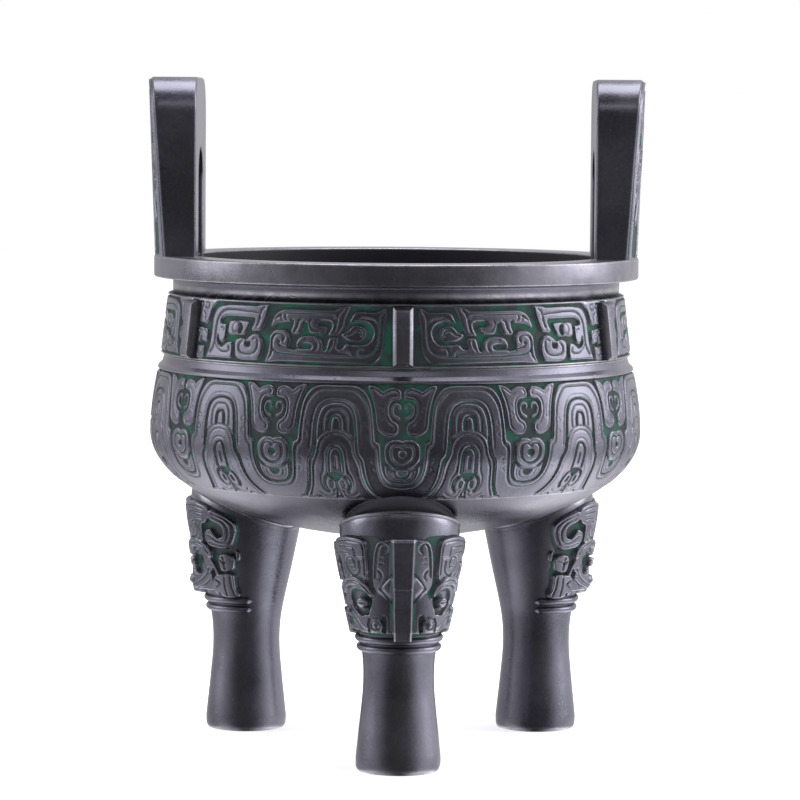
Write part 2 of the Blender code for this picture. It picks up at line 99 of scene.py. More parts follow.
def smooth_line(points: Points, closed: bool = False, steps: int = 6) -> np.ndarray:
    """Draw a soft curve through points; a point given twice makes a sharp corner.

    Args:
        points: Places on the line.
        closed: Whether the line comes back to its start.
        steps: Straight pieces between two places.

    Returns:
        An array of places along the curve.
    """
    places = [np.array(point, float) for point in points]
    if closed:
        places = places + places[:1]
    last = len(places) - 1
    drawn = [places[0]]
    for i in range(last):
        start, end = places[i], places[i + 1]
        if np.allclose(start, end):
            continue
        before = places[i - 1] if i > 0 else (places[last - 1] if closed else start)
        after = places[i + 2] if i + 2 <= last else (places[1] if closed else end)
        leave = (end - before) / 2.0
        arrive = (after - start) / 2.0
        length = np.linalg.norm(end - start)
        for tangent in (leave, arrive):
            reach = np.linalg.norm(tangent)
            if reach > length:
                tangent *= length / reach
        if np.allclose(start, before):
            leave = (end - start) * 0.6
        if np.allclose(end, after):
            arrive = (end - start) * 0.6
        for k in range(1, steps + 1):
            t = k / steps
            drawn.append(
                (2 * t**3 - 3 * t**2 + 1) * start
                + (t**3 - 2 * t**2 + t) * leave
                + (3 * t**2 - 2 * t**3) * end
                + (t**3 - t**2) * arrive
            )
    return np.array(drawn)


def soft_step(value: np.ndarray) -> np.ndarray:
    """Rise smoothly from 0 to 1 as the value goes from 0 to 1."""
    share = np.clip(value, 0.0, 1.0)
    return share * share * (3.0 - 2.0 * share)


@dataclass
class Tablet:
    """A flat field of heights that is carved like wax, in millimetres.

    Attributes:
        columns: Place of every column along the field.
        rows: Place of every row down the field.
        across: Place of every sample along the field.
        down: Place of every sample down the field.
        height: Height of every sample over the sunk ground.
    """

    columns: np.ndarray
    rows: np.ndarray
    across: np.ndarray = field(init=False)
    down: np.ndarray = field(init=False)
    height: np.ndarray = field(init=False)

    def __post_init__(self) -> None:
        """Spread the samples over bare ground."""
        across, down = np.meshgrid(self.columns, self.rows)
        self.across, self.down = across.ravel(), down.ravel()
        self.height = np.zeros(across.size)

    def relief(self) -> np.ndarray:
        """Return the heights in metres, by row and column."""
        return self.height.reshape(len(self.rows), len(self.columns)) * MM

    def near(self, line: np.ndarray, reach: float) -> np.ndarray:
        """Return the indices of the samples that lie within a reach of a line's box."""
        low, high = line.min(0) - reach, line.max(0) + reach
        inside = (self.across >= low[0]) & (self.across <= high[0])
        inside &= (self.down >= low[1]) & (self.down <= high[1])
        return np.nonzero(inside)[0]

    def distance(self, line: np.ndarray, where: np.ndarray) -> np.ndarray:
        """Return how far samples lie from a line.

        Args:
            line: Places along the line.
            where: Indices of the samples.

        Returns:
            The distance of each sample.
        """
        x, y = self.across[where], self.down[where]
        nearest = np.full(len(where), np.inf)
        for (x0, y0), (x1, y1) in zip(line, line[1:]):
            dx, dy = x1 - x0, y1 - y0
            share = ((x - x0) * dx + (y - y0) * dy) / max(dx * dx + dy * dy, 1e-12)
            share = np.clip(share, 0.0, 1.0)
            gap = (x - x0 - share * dx) ** 2 + (y - y0 - share * dy) ** 2
            np.minimum(nearest, gap, out=nearest)
        return np.sqrt(nearest)

    def inside(self, line: np.ndarray, where: np.ndarray) -> np.ndarray:
        """Tell which samples lie inside a closed line, by counting crossings."""
        x, y = self.across[where], self.down[where]
        crossed = np.zeros(len(where), bool)
        for (x0, y0), (x1, y1) in zip(line, line[1:]):
            if y0 == y1:
                continue
            spans = (y0 > y) != (y1 > y)
            crossed ^= spans & (x < (x1 - x0) * (y - y0) / (y1 - y0) + x0)
        return crossed

    def settle(
        self, where: np.ndarray, share: np.ndarray, level: float | np.ndarray, top: bool
    ) -> None:
        """Bring samples part of the way to a level.

        Args:
            where: Indices of the samples.
            share: How much of the way each goes.
            level: The height at the end of the way, one for all samples or one for each.
            top: True raises what is lower; False sinks what is higher.
        """
        now = self.height[where]
        reached = now + (np.broadcast_to(level, self.height.shape)[where] - now) * share
        choose = np.maximum if top else np.minimum
        self.height[where] = choose(now, reached)

    def fill(self, points: Points, level: float | np.ndarray, edge: float, top: bool) -> None:
        """Bring the inside of an outline to a level, with a sloping edge.

        Args:
            points: The outline.
            level: The height reached inside it, one for all samples or one for each.
            edge: Half the width of the slope.
            top: True raises what is lower; False sinks what is higher.
        """
        line = smooth_line(points, closed=True)
        where = self.near(line, 2.0 * edge)
        gap = self.distance(line, where)
        signed = np.where(self.inside(line, where), gap, -gap)
        self.settle(where, soft_step((signed + edge) / (2.0 * edge)), level, top)

    def raise_plate(self, points: Points, level: float | np.ndarray, edge: float = 0.3) -> None:
        """Raise the inside of an outline to a level."""
        self.fill(points, level, edge, True)

    def sink(self, points: Points, level: float, edge: float = 0.3) -> None:
        """Sink the inside of an outline to a level."""
        self.fill(points, level, edge, False)

    def stroke(self, points: Points, width: float, lift: float, closed: bool = False) -> None:
        """Add a round-topped line, or cut one where the lift is negative.

        Args:
            points: Places along the line.
            width: Its whole width.
            lift: Height added along its middle.
            closed: Whether it comes back to its start.
        """
        line = smooth_line(points, closed)
        where = self.near(line, width)
        share = self.distance(line, where) / (0.5 * width)
        self.height[where] += lift * (1.0 - soft_step(share * 0.8))

    def strokes(
        self,
        lines: Sequence[tuple[Points, float, float]],
        place: Callable[[Points], Points] = list,
    ) -> None:
        """Add several round-topped lines.

        Args:
            lines: Places along each line, its width and its lift.
            place: Turns the places given into places on the field.
        """
        for points, width, lift in lines:
            self.stroke(place(points), width, lift)

    def strip(self, points: Points, width: float, level: float, edge: float, top: bool) -> None:
        """Bring a flat strip along a line to a level.

        Args:
            points: Places along the line.
            width: The strip's whole width.
            level: The height reached.
            edge: Half the width of the slope at its sides.
            top: True raises what is lower; False sinks what is higher.
        """
        line = smooth_line(points)
        where = self.near(line, width)
        gap = self.distance(line, where)
        self.settle(where, soft_step((0.5 * width - gap + edge) / (2.0 * edge)), level, top)

    def channel(self, points: Points, width: float, level: float, edge: float) -> None:
        """Sink a flat-floored channel along a line down to a level."""
        self.strip(points, width, level, edge, False)

    def band(self, points: Points, width: float, level: float, edge: float) -> None:
        """Raise a flat-topped band along a line up to a level."""
        self.strip(points, width, level, edge, True)

    def dome(self, centre: Point, radius: float, lift: float) -> None:
        """Add a round boss, or press a round hollow where the lift is negative."""
        gap = np.hypot(self.across - centre[0], self.down - centre[1]) / radius
        self.height += lift * np.sqrt(np.clip(1.0 - gap**2, 0.0, 1.0))


# Meshes ---------------------------------------------------------------------------------------


def read_corners(mesh: bpy.types.Mesh) -> np.ndarray:
    """Return a mesh's corners as rows of three numbers."""
    corners = np.empty(len(mesh.vertices) * 3, np.float32)
    mesh.vertices.foreach_get("co", corners)
    return corners.reshape(-1, 3).astype(float)


def move_corners(mesh: bpy.types.Mesh, places: np.ndarray) -> None:
    """Put a mesh's corners in their places, one row of three numbers each."""
    mesh.vertices.foreach_set("co", places.astype(np.float32).ravel())


def numbered_grid(columns: int, rows: int) -> tuple[bpy.types.Mesh, np.ndarray, np.ndarray]:
    """Make a flat grid to be bent into shape.

    Args:
        columns: Cells across.
        rows: Cells down.

    Returns:
        The mesh, and the column and the row that each corner stands on.
    """
    grid = bmesh.new()
    bmesh.ops.create_grid(grid, x_segments=columns, y_segments=rows, size=0.5)
    bmesh.ops.translate(grid, verts=grid.verts, vec=(0.5, 0.5, 0.0))
    bmesh.ops.scale(grid, verts=grid.verts, vec=(columns, rows, 1.0))
    mesh = bpy.data.meshes.new("grid")
    grid.to_mesh(mesh)
    grid.free()
    numbers = np.rint(read_corners(mesh)).astype(int)
    return mesh, numbers[:, 0], numbers[:, 1]


def read_number(mesh: bpy.types.Mesh, name: str) -> np.ndarray:
    """Return the numbers stored on a mesh's corners."""
    values = np.empty(len(mesh.vertices), np.float32)
    mesh.attributes[name].data.foreach_get("value", values)
    return values


def set_number(mesh: bpy.types.Mesh, name: str, values: np.ndarray) -> None:
    """Store one number per corner for the materials to read."""
    layer = mesh.attributes.get(name) or mesh.attributes.new(name, "FLOAT", "POINT")
    layer.data.foreach_set("value", values.astype(np.float32))


def clean(mesh: bpy.types.Mesh, cap_ends: bool) -> None:
    """Weld the seams of a wrapped grid, cap its open ends and turn its faces outwards.

    Args:
        mesh: The mesh to finish in place.
        cap_ends: Whether open ends are closed with a face.
    """
    work = bmesh.new()
    work.from_mesh(mesh)
    bmesh.ops.remove_doubles(work, verts=work.verts, dist=1e-6)
    if cap_ends:
        rims = [edge for edge in work.edges if edge.is_boundary]
        bmesh.ops.holes_fill(work, edges=rims, sides=0)
    bmesh.ops.recalc_face_normals(work, faces=work.faces)
    work.to_mesh(mesh)
    work.free()


def mirrored(side: np.ndarray) -> np.ndarray:
    """Return a field with its mirror image before it, joined at its first column."""
    return np.concatenate([side[:, :0:-1], side], axis=1)


def blurred(values: np.ndarray, reach: int) -> np.ndarray:
    """Average values over a square window.

    Args:
        values: Values by row and column.
        reach: Cells to each side of a value.

    Returns:
        The averaged values.
    """
    out = values
    for axis in (0, 1):
        padded = np.pad(out, [(reach, reach) if a == axis else (0, 0) for a in (0, 1)], "edge")
        total = np.cumsum(padded, axis=axis)
        zero = np.zeros_like(np.take(total, [0], axis=axis))
        total = np.concatenate([zero, total], axis=axis)
        width = 2 * reach + 1
        count = out.shape[axis]
        high = np.take(total, range(width, width + count), axis=axis)
        low = np.take(total, range(0, count), axis=axis)
        out = (high - low) / width
    return out


@dataclass
class Inlay:
    """A carved strip, closed behind so that it sits in a wall like an inlay.

    Attributes:
        heights: Heights in metres by row and column.
        down_rows: Place of every row down the wall, in metres.
        sunk: How deep the hidden side lies under the ground.
        back_rows: Rows of cells on the hidden side.
        blur: Cells to each side over which the carving is averaged to find its hollows.
        mesh: The strip's grid.
        column: The column that every corner stands on.
        hidden: Which corners are on the hidden side.
        shown: The row of the carved side nearest to every corner.
        down: Place of every corner down the wall.
        lift: Height of every corner over the wall.
    """

    heights: np.ndarray
    down_rows: np.ndarray
    sunk: float
    back_rows: int = 5
    blur: int = 4
    mesh: bpy.types.Mesh = field(init=False)
    column: np.ndarray = field(init=False)
    hidden: np.ndarray = field(init=False)
    shown: np.ndarray = field(init=False)
    down: np.ndarray = field(init=False)
    lift: np.ndarray = field(init=False)

    def __post_init__(self) -> None:
        """Lay the grid out over the carved side and back behind it."""
        rows, columns = self.heights.shape[0] - 1, self.heights.shape[1] - 1
        self.mesh, self.column, row = numbered_grid(columns, rows + self.back_rows)
        self.hidden, self.shown = row > rows, np.minimum(row, rows)
        first, last = self.down_rows[0], self.down_rows[-1]
        behind = last + (first - last) * ((row - rows) / self.back_rows)
        self.down = np.where(self.hidden, behind, self.down_rows[self.shown])
        lift = self.on_corners(self.heights, -self.sunk)
        closing = row == rows + self.back_rows
        self.lift = np.where(closing, self.heights[0, self.column], lift)

    def spread(self, start: float, end: float) -> np.ndarray:
        """Share a span out over the columns, and return each corner's value."""
        return start + (end - start) * self.column / (self.heights.shape[1] - 1)

    def on_corners(self, values: np.ndarray, hidden_value: float) -> np.ndarray:
        """Return values by row and column for the carved side's corners, and one for the rest."""
        return np.where(self.hidden, hidden_value, values[self.shown, self.column])

    def mark(self, deepest: float, level: np.ndarray, hidden_level: float) -> None:
        """Store how hollow and how high every corner is, for the finish.

        Args:
            deepest: The depth in metres that counts as fully hollow.
            level: Heights from 0 to 1 by row and column.
            hidden_level: The height of the hidden side.
        """
        recess = (blurred(self.heights, self.blur) - self.heights) / deepest
        set_number(self.mesh, "hollow", self.on_corners(recess, 0.0))
        set_number(self.mesh, "level", self.on_corners(level, hidden_level))


@dataclass
class Workshop:
    """Turns meshes into named pieces of the vessel and keeps count of them."""

    made: list[bpy.types.Object] = field(default_factory=list)

    def piece(
        self, name: str, mesh: bpy.types.Mesh, finish: bpy.types.Material
    ) -> bpy.types.Object:
        """Show a mesh as a piece of the vessel that rides on its only body.

        Args:
            name: The piece's name.
            mesh: Its mesh, in place.
            finish: Its material.

        Returns:
            The new object.
        """
        mesh.name = name
        for face in mesh.polygons:
            face.use_smooth = True
        mesh.materials.clear()
        mesh.materials.append(finish)
        item = bpy.data.objects.new(name, mesh)
        bpy.context.scene.collection.objects.link(item)
        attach(item, BODY)
        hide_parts(NODE)
        self.made.append(item)
        mesh.calc_loop_triangles()
        LOG.info("%s: %d triangles", name, len(mesh.loop_triangles))
        return item


# The bowl's wall ------------------------------------------------------------------------------


@dataclass(frozen=True)
class BowlWall:
    """Sizes of the turned bowl and the surfaces that the carving is wrapped on."""

    rim_radius: float = 0.110
    rim_depth: float = 0.0097
    mouth_radius: float = 0.0915
    mouth_widening: float = 0.0048
    neck_radius: float = 0.1014
    wall: float = 0.0057
    lowest: float = 0.1275
    floor: float = 0.1168
    dragon_top: float = 0.0172
    dragon_bottom: float = 0.0445
    dragon_top_radius: float = 0.1026
    dragon_bottom_radius: float = 0.1058
    dragon_pitch: float = 0.1056
    belly_widest: float = 0.1118
    belly_depth: float = 0.0798
    belly_power: float = 1.95
    inner_power: float = 2.15
    shoulder_radius: float = 0.1083
    wave_top: float = 0.0512
    relief: float = 0.0012

    def belly(self, depth: np.ndarray, inset: float = 0.0) -> np.ndarray:
        """Return the belly's radius at depths, or that of the surface an inset inside it."""
        bottom, power = self.lowest, self.belly_power
        if inset > 0.0:
            bottom, power = self.floor, self.inner_power
        widest = self.belly_widest - inset
        up = (self.belly_depth - depth) / (self.belly_depth - self.wave_top)
        above = widest - (self.belly_widest - self.shoulder_radius) * up**2
        low = np.clip((depth - self.belly_depth) / (bottom - self.belly_depth), 0.0, 1.0)
        below = widest * (1.0 - low**power) ** (1.0 / power)
        return np.where(depth <= self.belly_depth, above, below)

    def depth_at(self, radius: np.ndarray) -> np.ndarray:
        """Return the depth at which the underside of the belly has a radius."""
        share = np.clip(radius / self.belly_widest, 0.0, 1.0)
        low = (1.0 - share**self.belly_power) ** (1.0 / self.belly_power)
        return self.belly_depth + (self.lowest - self.belly_depth) * low

    def dragon_ground(self, depth: np.ndarray) -> np.ndarray:
        """Return the radius of the dragon band's ground at depths."""
        share = (depth - self.dragon_top) / (self.dragon_bottom - self.dragon_top)
        return self.dragon_top_radius + share * (self.dragon_bottom_radius - self.dragon_top_radius)

    def wave_ground(self, depth: np.ndarray) -> np.ndarray:
        """Return the radius of the wave band's ground at depths."""
        return self.belly(depth) - self.relief

    def wave_depth(self, down: np.ndarray) -> np.ndarray:
        """Return the depths reached after going down the wave band's wall by lengths."""
        depth = np.linspace(self.wave_top - 0.004, self.lowest - 0.0004, 4000)
        steps = np.hypot(np.diff(depth), np.diff(self.belly(depth)))
        length = np.concatenate([[0.0], np.cumsum(steps)])
        length -= np.interp(self.wave_top, depth, length)
        return np.interp(down, length, depth)

    def point(
        self,
        angle: np.ndarray,
        depth: np.ndarray,
        radius_of: Callable[[np.ndarray], np.ndarray],
        lift: np.ndarray,
    ) -> np.ndarray:
        """Place points on a turned wall, lifted square to it.

        Args:
            angle: Turns round from -Y.
            depth: Depths under the rim.
            radius_of: The wall's radius at a depth.
            lift: Heights over the wall.

        Returns:
            One row of x, y, z for each point.
        """
        step = 0.0005
        lean = np.arctan2(radius_of(depth - step) - radius_of(depth + step), 2.0 * step)
        radius = radius_of(depth) + lift * np.cos(lean)
        height = RIM_HEIGHT - depth - lift * np.sin(lean)
        return np.stack([radius * np.sin(angle), -radius * np.cos(angle), height], 1)


@dataclass
class CarvedBand:
    """A carved strip round the bowl, closed behind so that it sits in the wall like an inlay."""

    wall: BowlWall
    shop: Workshop
    finish: bpy.types.Material

    def build(
        self,
        name: str,
        heights: np.ndarray,
        turn: Point,
        down_rows: np.ndarray,
        surface: Callable[[np.ndarray, np.ndarray, np.ndarray], np.ndarray],
        sunk: float,
    ) -> bpy.types.Object:
        """Wrap a field of heights round the bowl.

        Args:
            name: Name of the piece.
            heights: Heights in metres by row and column.
            turn: Angles of the first and last column.
            down_rows: Place of every row down the wall, in metres.
            surface: Turns angles, places down the wall and lifts into points.
            sunk: How deep the hidden side lies under the ground.

        Returns:
            The finished piece.
        """
        inlay = Inlay(heights, down_rows, sunk)
        move_corners(inlay.mesh, surface(inlay.spread(*turn), inlay.down, inlay.lift))
        relief = self.wall.relief
        inlay.mark(relief, heights / relief, 1.0)
        whole_turn = turn[1] - turn[0] > 2.0 * math.pi - 1e-6
        clean(inlay.mesh, cap_ends=not whole_turn)
        return self.shop.piece(name, inlay.mesh, self.finish)


# The wave band --------------------------------------------------------------------------------


@dataclass
class WaveBand(CarvedBand):
    """The broad band of waves: twelve arches, each with a bell and curls, and hearts between.

    Everything is drawn for half an arch, from its middle (0) to the middle of a valley.
    """

    waves: int = 12
    columns_per_half: int = 65
    rows: int = 122
    above: float = 0.8
    below: float = 54.6
    foot: float = 53.9
    border: float = 0.6
    sunk: float = 0.0022
    sides: tuple[str, str] = ("front", "back")

    def carve(self, tablet: Tablet, half: float) -> None:
        """Cut the figures of half an arch.

        Args:
            tablet: The field to carve.
            half: Length of the half arch.
        """
        top = self.wall.relief / MM - 0.28
        low = 0.02

        def valley(points: Points) -> list[Point]:
            """Turn places measured from the valley's middle into places from the arch's."""
            return [(half - u, y) for u, y in points]

        arch = [
            (0, 0.9), (6.5, 0.9), (10.2, 1.7), (12.7, 3.7), (14.5, 6.6), (15.5, 10), (16.1, 14.6),
            (16.6, 20), (16.8, 23.4), (17.3, 24.8), (18.8, 25.6), (19.3, 27.4), (19.5, 31),
            (19.9, 36), (21.2, 40.6), (24.0, 43.7), (half, 44.8)
        ]
        foot = [(half + 2, 44.8), (half + 2, 60), (half + 2, 60), (-2, 60), (-2, 60), (-2, 0.9)]
        tablet.raise_plate(arch + foot, top)

        gap = [
            (0, 8.1), (3.4, 8.5), (6.4, 10.4), (8.0, 14), (8.6, 18), (8.9, 23), (9.2, 28.4),
            (9.9, 31.0), (11.3, 33.0), (11.8, 36), (12.5, 41), (14.0, 46.6), (17.4, 52.6)
        ]
        tablet.channel(gap[:7], 0.95, low + 0.2, 0.25)
        tablet.channel(gap[5:], 1.0, low, 0.25)
        beside = [
            (0, 7.2), (3.9, 7.6), (7.2, 9.7), (8.9, 13.6), (9.6, 18), (9.9, 23), (10.2, 28.0),
            (11.0, 30.4), (12.4, 32.4), (12.9, 36), (13.6, 41), (15.1, 46.2), (18.4, 52.0)
        ]
        tablet.stroke(beside, 0.9, 0.13)
        tablet.stroke([
            (0, 6.4), (4.4, 6.9), (8.0, 9.2), (9.8, 13.4), (10.5, 18), (10.8, 23), (11.1, 27.6)
        ], 0.75, -0.28)

        edge = [
            (0, 1.5), (6.4, 1.5), (9.9, 2.4), (12.2, 4.3), (13.9, 7.1), (14.9, 10.4), (15.5, 14.8),
            (16.0, 20), (16.2, 23.6), (16.8, 25.2), (18.2, 26.2), (18.7, 28), (18.9, 31.2),
            (19.3, 36.4), (20.8, 41.3), (23.8, 44.5), (half, 45.6)
        ]
        tablet.stroke(edge, 1.0, 0.16)
        inner = [
            (0, 2.7), (5.6, 2.8), (8.6, 3.5), (11.0, 5.6), (12.9, 8.6), (13.9, 11.6), (14.5, 15.4),
            (14.9, 20.2), (15.1, 24.2), (15.7, 26.2), (17.1, 27.6), (17.6, 30), (17.8, 33),
            (18.3, 37.4), (19.9, 42.6), (23.2, 46.0), (half, 47.0)
        ]
        tablet.stroke(inner, 0.8, -0.42)
        for y, x in ((17, 12.6), (22, 12.9), (33, 14.8), (36.8, 15.8)):
            tablet.stroke([(x + 0.9, y - 1.2), (x, y), (x + 1.2, y + 1.1)], 0.5, -0.22)

        tablet.stroke([(0, 10.9), (2.9, 11.4), (4.8, 13.8), (5.2, 16.6), (5.3, 20.4)], 0.8, -0.42)
        tablet.channel([(0, 14.0), (1.4, 14.5), (2.2, 16.6), (2.3, 19.6)], 0.9, low + 0.1, 0.25)

        bell = [
            (0, 20.9), (3.6, 21.6), (6.4, 23.8), (7.7, 26.6), (8.2, 29.6), (9.5, 32.4),
            (10.6, 35.4), (11.2, 40), (12.5, 45.4), (15.4, 51.6)
        ]
        tablet.strokes((
            ([(0, 20.1), (3.9, 20.8), (7.2, 23.2), (8.6, 26.4)], 0.75, -0.4),
            (bell, 0.9, 0.14),
            ([(0, 21.9), (3.2, 22.5), (5.5, 24.4), (6.8, 27.0), (7.3, 30.0), (8.5, 33.0), (9.6, 36),
              (10.2, 40.4), (11.5, 46), (14.2, 52)], 0.7, -0.28),
        ))

        tablet.channel([
            (0, 27.2), (1.5, 27.8), (2.7, 30.0), (3.1, 33.4), (3.2, 38.6)
        ], 0.85, low, 0.25)
        tablet.strokes((
            ([(0, 26.3), (2.0, 26.9), (3.6, 29.6), (4.0, 33.2), (4.2, 38.2)], 0.7, 0.1),
            ([(0, 25.4), (2.8, 26.3), (4.7, 29.4), (5.0, 33.6), (5.6, 37.8), (6.9, 40.6), (7.3, 44),
              (6.8, 47.4), (5.0, 49.6)], 0.7, -0.26),
            ([(0, 31.6), (0, 36.0)], 0.95, -0.8),
        ))
        tablet.sink([
            (-0.5, 39.0), (1.6, 38.6), (3.2, 39.6), (2.0, 41.2), (0.9, 42.6), (-0.5, 42.8)
        ], low + 0.15, 0.3)
        tablet.channel([
            (1.4, 40.2), (3.6, 40.2), (5.2, 41.8), (5.9, 44.4), (5.6, 47.0), (4.5, 48.9)
        ], 0.85, low, 0.25)
        tablet.strokes((
            ([(2.4, 43.2), (2.7, 45.8)], 1.3, -0.9),
            ([(1.2, 48.0), (2.6, 49.0)], 0.9, -0.45),
            ([(0, 42.4), (0.2, 46), (0.7, 50.0), (1.4, 53)], 0.85, -0.6),
        ))
        tablet.sink([(-1.6, 54.4), (0, 51.9), (1.6, 54.4)], low + 0.2, 0.3)
        tablet.stroke([(2.2, 50.8), (4.0, 52.2), (6.6, 51.8), (8.8, 49.8)], 0.7, -0.28)
        for x in (9.7, 18.4):
            tablet.sink([(x - 1.3, 54.2), (x, 52.2), (x + 1.3, 54.2)], low + 0.1, 0.3)
        tablet.stroke([(10.6, 52.2), (13.4, 53.2), (17.0, 52.4)], 0.7, -0.28)

        plate = [
            (14.9, 1.0), (12.4, 1.0), (10.0, 2.3), (8.5, 3.4), (6.6, 2.4), (4.0, 1.7), (1.8, 2.2),
            (0.75, 3.8), (0.7, 6.0), (2.4, 6.6), (4.6, 7.2), (5.9, 9.4), (5.8, 13.0), (4.5, 15.6),
            (2.7, 16.8), (1.8, 18.6), (2.3, 21.0), (4.4, 22.3), (7.0, 22.1), (9.4, 20.8),
            (10.9, 18.6), (11.4, 14), (12.4, 9), (13.8, 4.4)
        ]
        tablet.raise_plate(valley(plate), top, 0.25)
        border = [
            (13.4, 2.0), (11.6, 2.6), (9.4, 4.3), (8.2, 4.6), (6.2, 3.5), (4.0, 2.9), (2.5, 3.2),
            (1.9, 4.3), (2.2, 5.3), (5.2, 6.0), (7.0, 8.6), (7.1, 13.2), (5.6, 16.6), (3.8, 17.8),
            (3.0, 19.2), (3.6, 20.6), (5.4, 21.1), (7.2, 20.8), (9.0, 19.6), (9.8, 17.6),
            (10.2, 13.4), (11.1, 8.6), (12.6, 4.2)
        ]
        tablet.stroke(valley(border), 0.75, -0.36, closed=True)
        for y in (10.6, 13.8):
            tablet.stroke(valley([(9.2, y - 0.9), (8.1, y + 0.1), (8.8, y + 1.2)]), 0.5, -0.22)
        hook = [
            (1.3, 10.6), (1.5, 9.3), (2.9, 8.8), (4.2, 9.9), (4.5, 11.8), (3.7, 13.6), (1.6, 14.7)
        ]
        tablet.band(valley(hook), 1.15, top * 0.85, 0.28)

        heart = [
            (0, 24.6), (1.5, 24.0), (4.6, 24.2), (7.1, 26.4), (7.7, 29.6), (7.0, 33.2), (4.4, 35.7),
            (0, 36.5), (-2.0, 36.4), (-2.0, 24.4)
        ]
        tablet.raise_plate(valley(heart), top * 1.1, 0.35)
        dent = [
            (0, 27.3), (1.4, 26.2), (3.9, 26.6), (4.9, 29.2), (4.2, 32.2), (2.2, 34.0), (0, 34.6)
        ]
        tablet.stroke(valley(dent), 1.0, -0.7)
        tablet.dome((half, 30.0), 1.6, -1.1)
        basin = [
            (7.3, 34.8), (7.3, 38.4), (6.2, 41.4), (4.0, 43.4), (0, 44.0), (-2.0, 44.0),
            (-2.0, 35.6), (4.8, 36.0)
        ]
        tablet.raise_plate(valley(basin), top * 0.8, 0.28)
        tablet.strokes((
            ([(7.0, 34.0), (5.2, 36.2), (2.6, 37.3), (0, 37.6)], 0.75, -0.45),
            ([(5.8, 37.2), (5.2, 40.2), (3.2, 42.4), (0, 43.0)], 0.7, -0.3),
            ([(4.4, 38.0), (3.7, 40.4), (2.2, 41.6), (0, 41.9)], 0.75, -0.4),
        ), valley)
        tablet.sink(valley([
            (-2.2, 38.0), (0, 37.6), (2.2, 38.0), (1.7, 39.4), (0.6, 40.4), (-0.6, 40.4),
            (-1.7, 39.4)
        ]), low + 0.1, 0.3)

    def heights(self, down: np.ndarray) -> np.ndarray:
        """Return the heights of one whole arch.

        Args:
            down: Place of every row, in millimetres.

        Returns:
            Heights in metres by row and column.
        """
        half = math.pi * self.wall.rim_radius / self.waves / MM
        tablet = Tablet(np.linspace(0.0, half, self.columns_per_half + 1), down)
        self.carve(tablet, half)
        tablet.height *= soft_step((tablet.down + 0.1) / self.border)
        tablet.height -= 0.5 * soft_step((tablet.down - self.foot) / self.border)
        return mirrored(tablet.relief())

    def make(self) -> list[bpy.types.Object]:
        """Build the band in two halves that meet in the middle of a valley."""
        down = np.linspace(-self.above, self.below, self.rows + 1)
        arch = self.heights(down)
        per_side = self.waves // len(self.sides)
        heights = np.concatenate([arch[:, :1]] + [arch[:, 1:]] * per_side, axis=1)

        def surface(angle: np.ndarray, down: np.ndarray, lift: np.ndarray) -> np.ndarray:
            """Place points on the belly."""
            depth = self.wall.wave_depth(down)
            return self.wall.point(angle, depth, self.wall.wave_ground, lift)

        made = []
        for index, side in enumerate(self.sides):
            start = math.pi * (index - 0.5)
            turn = (start, start + math.pi)
            name = f"wave_band_{side}"
            made.append(self.build(name, heights, turn, down * MM, surface, self.sunk))
        return made


# The dragon band ------------------------------------------------------------------------------


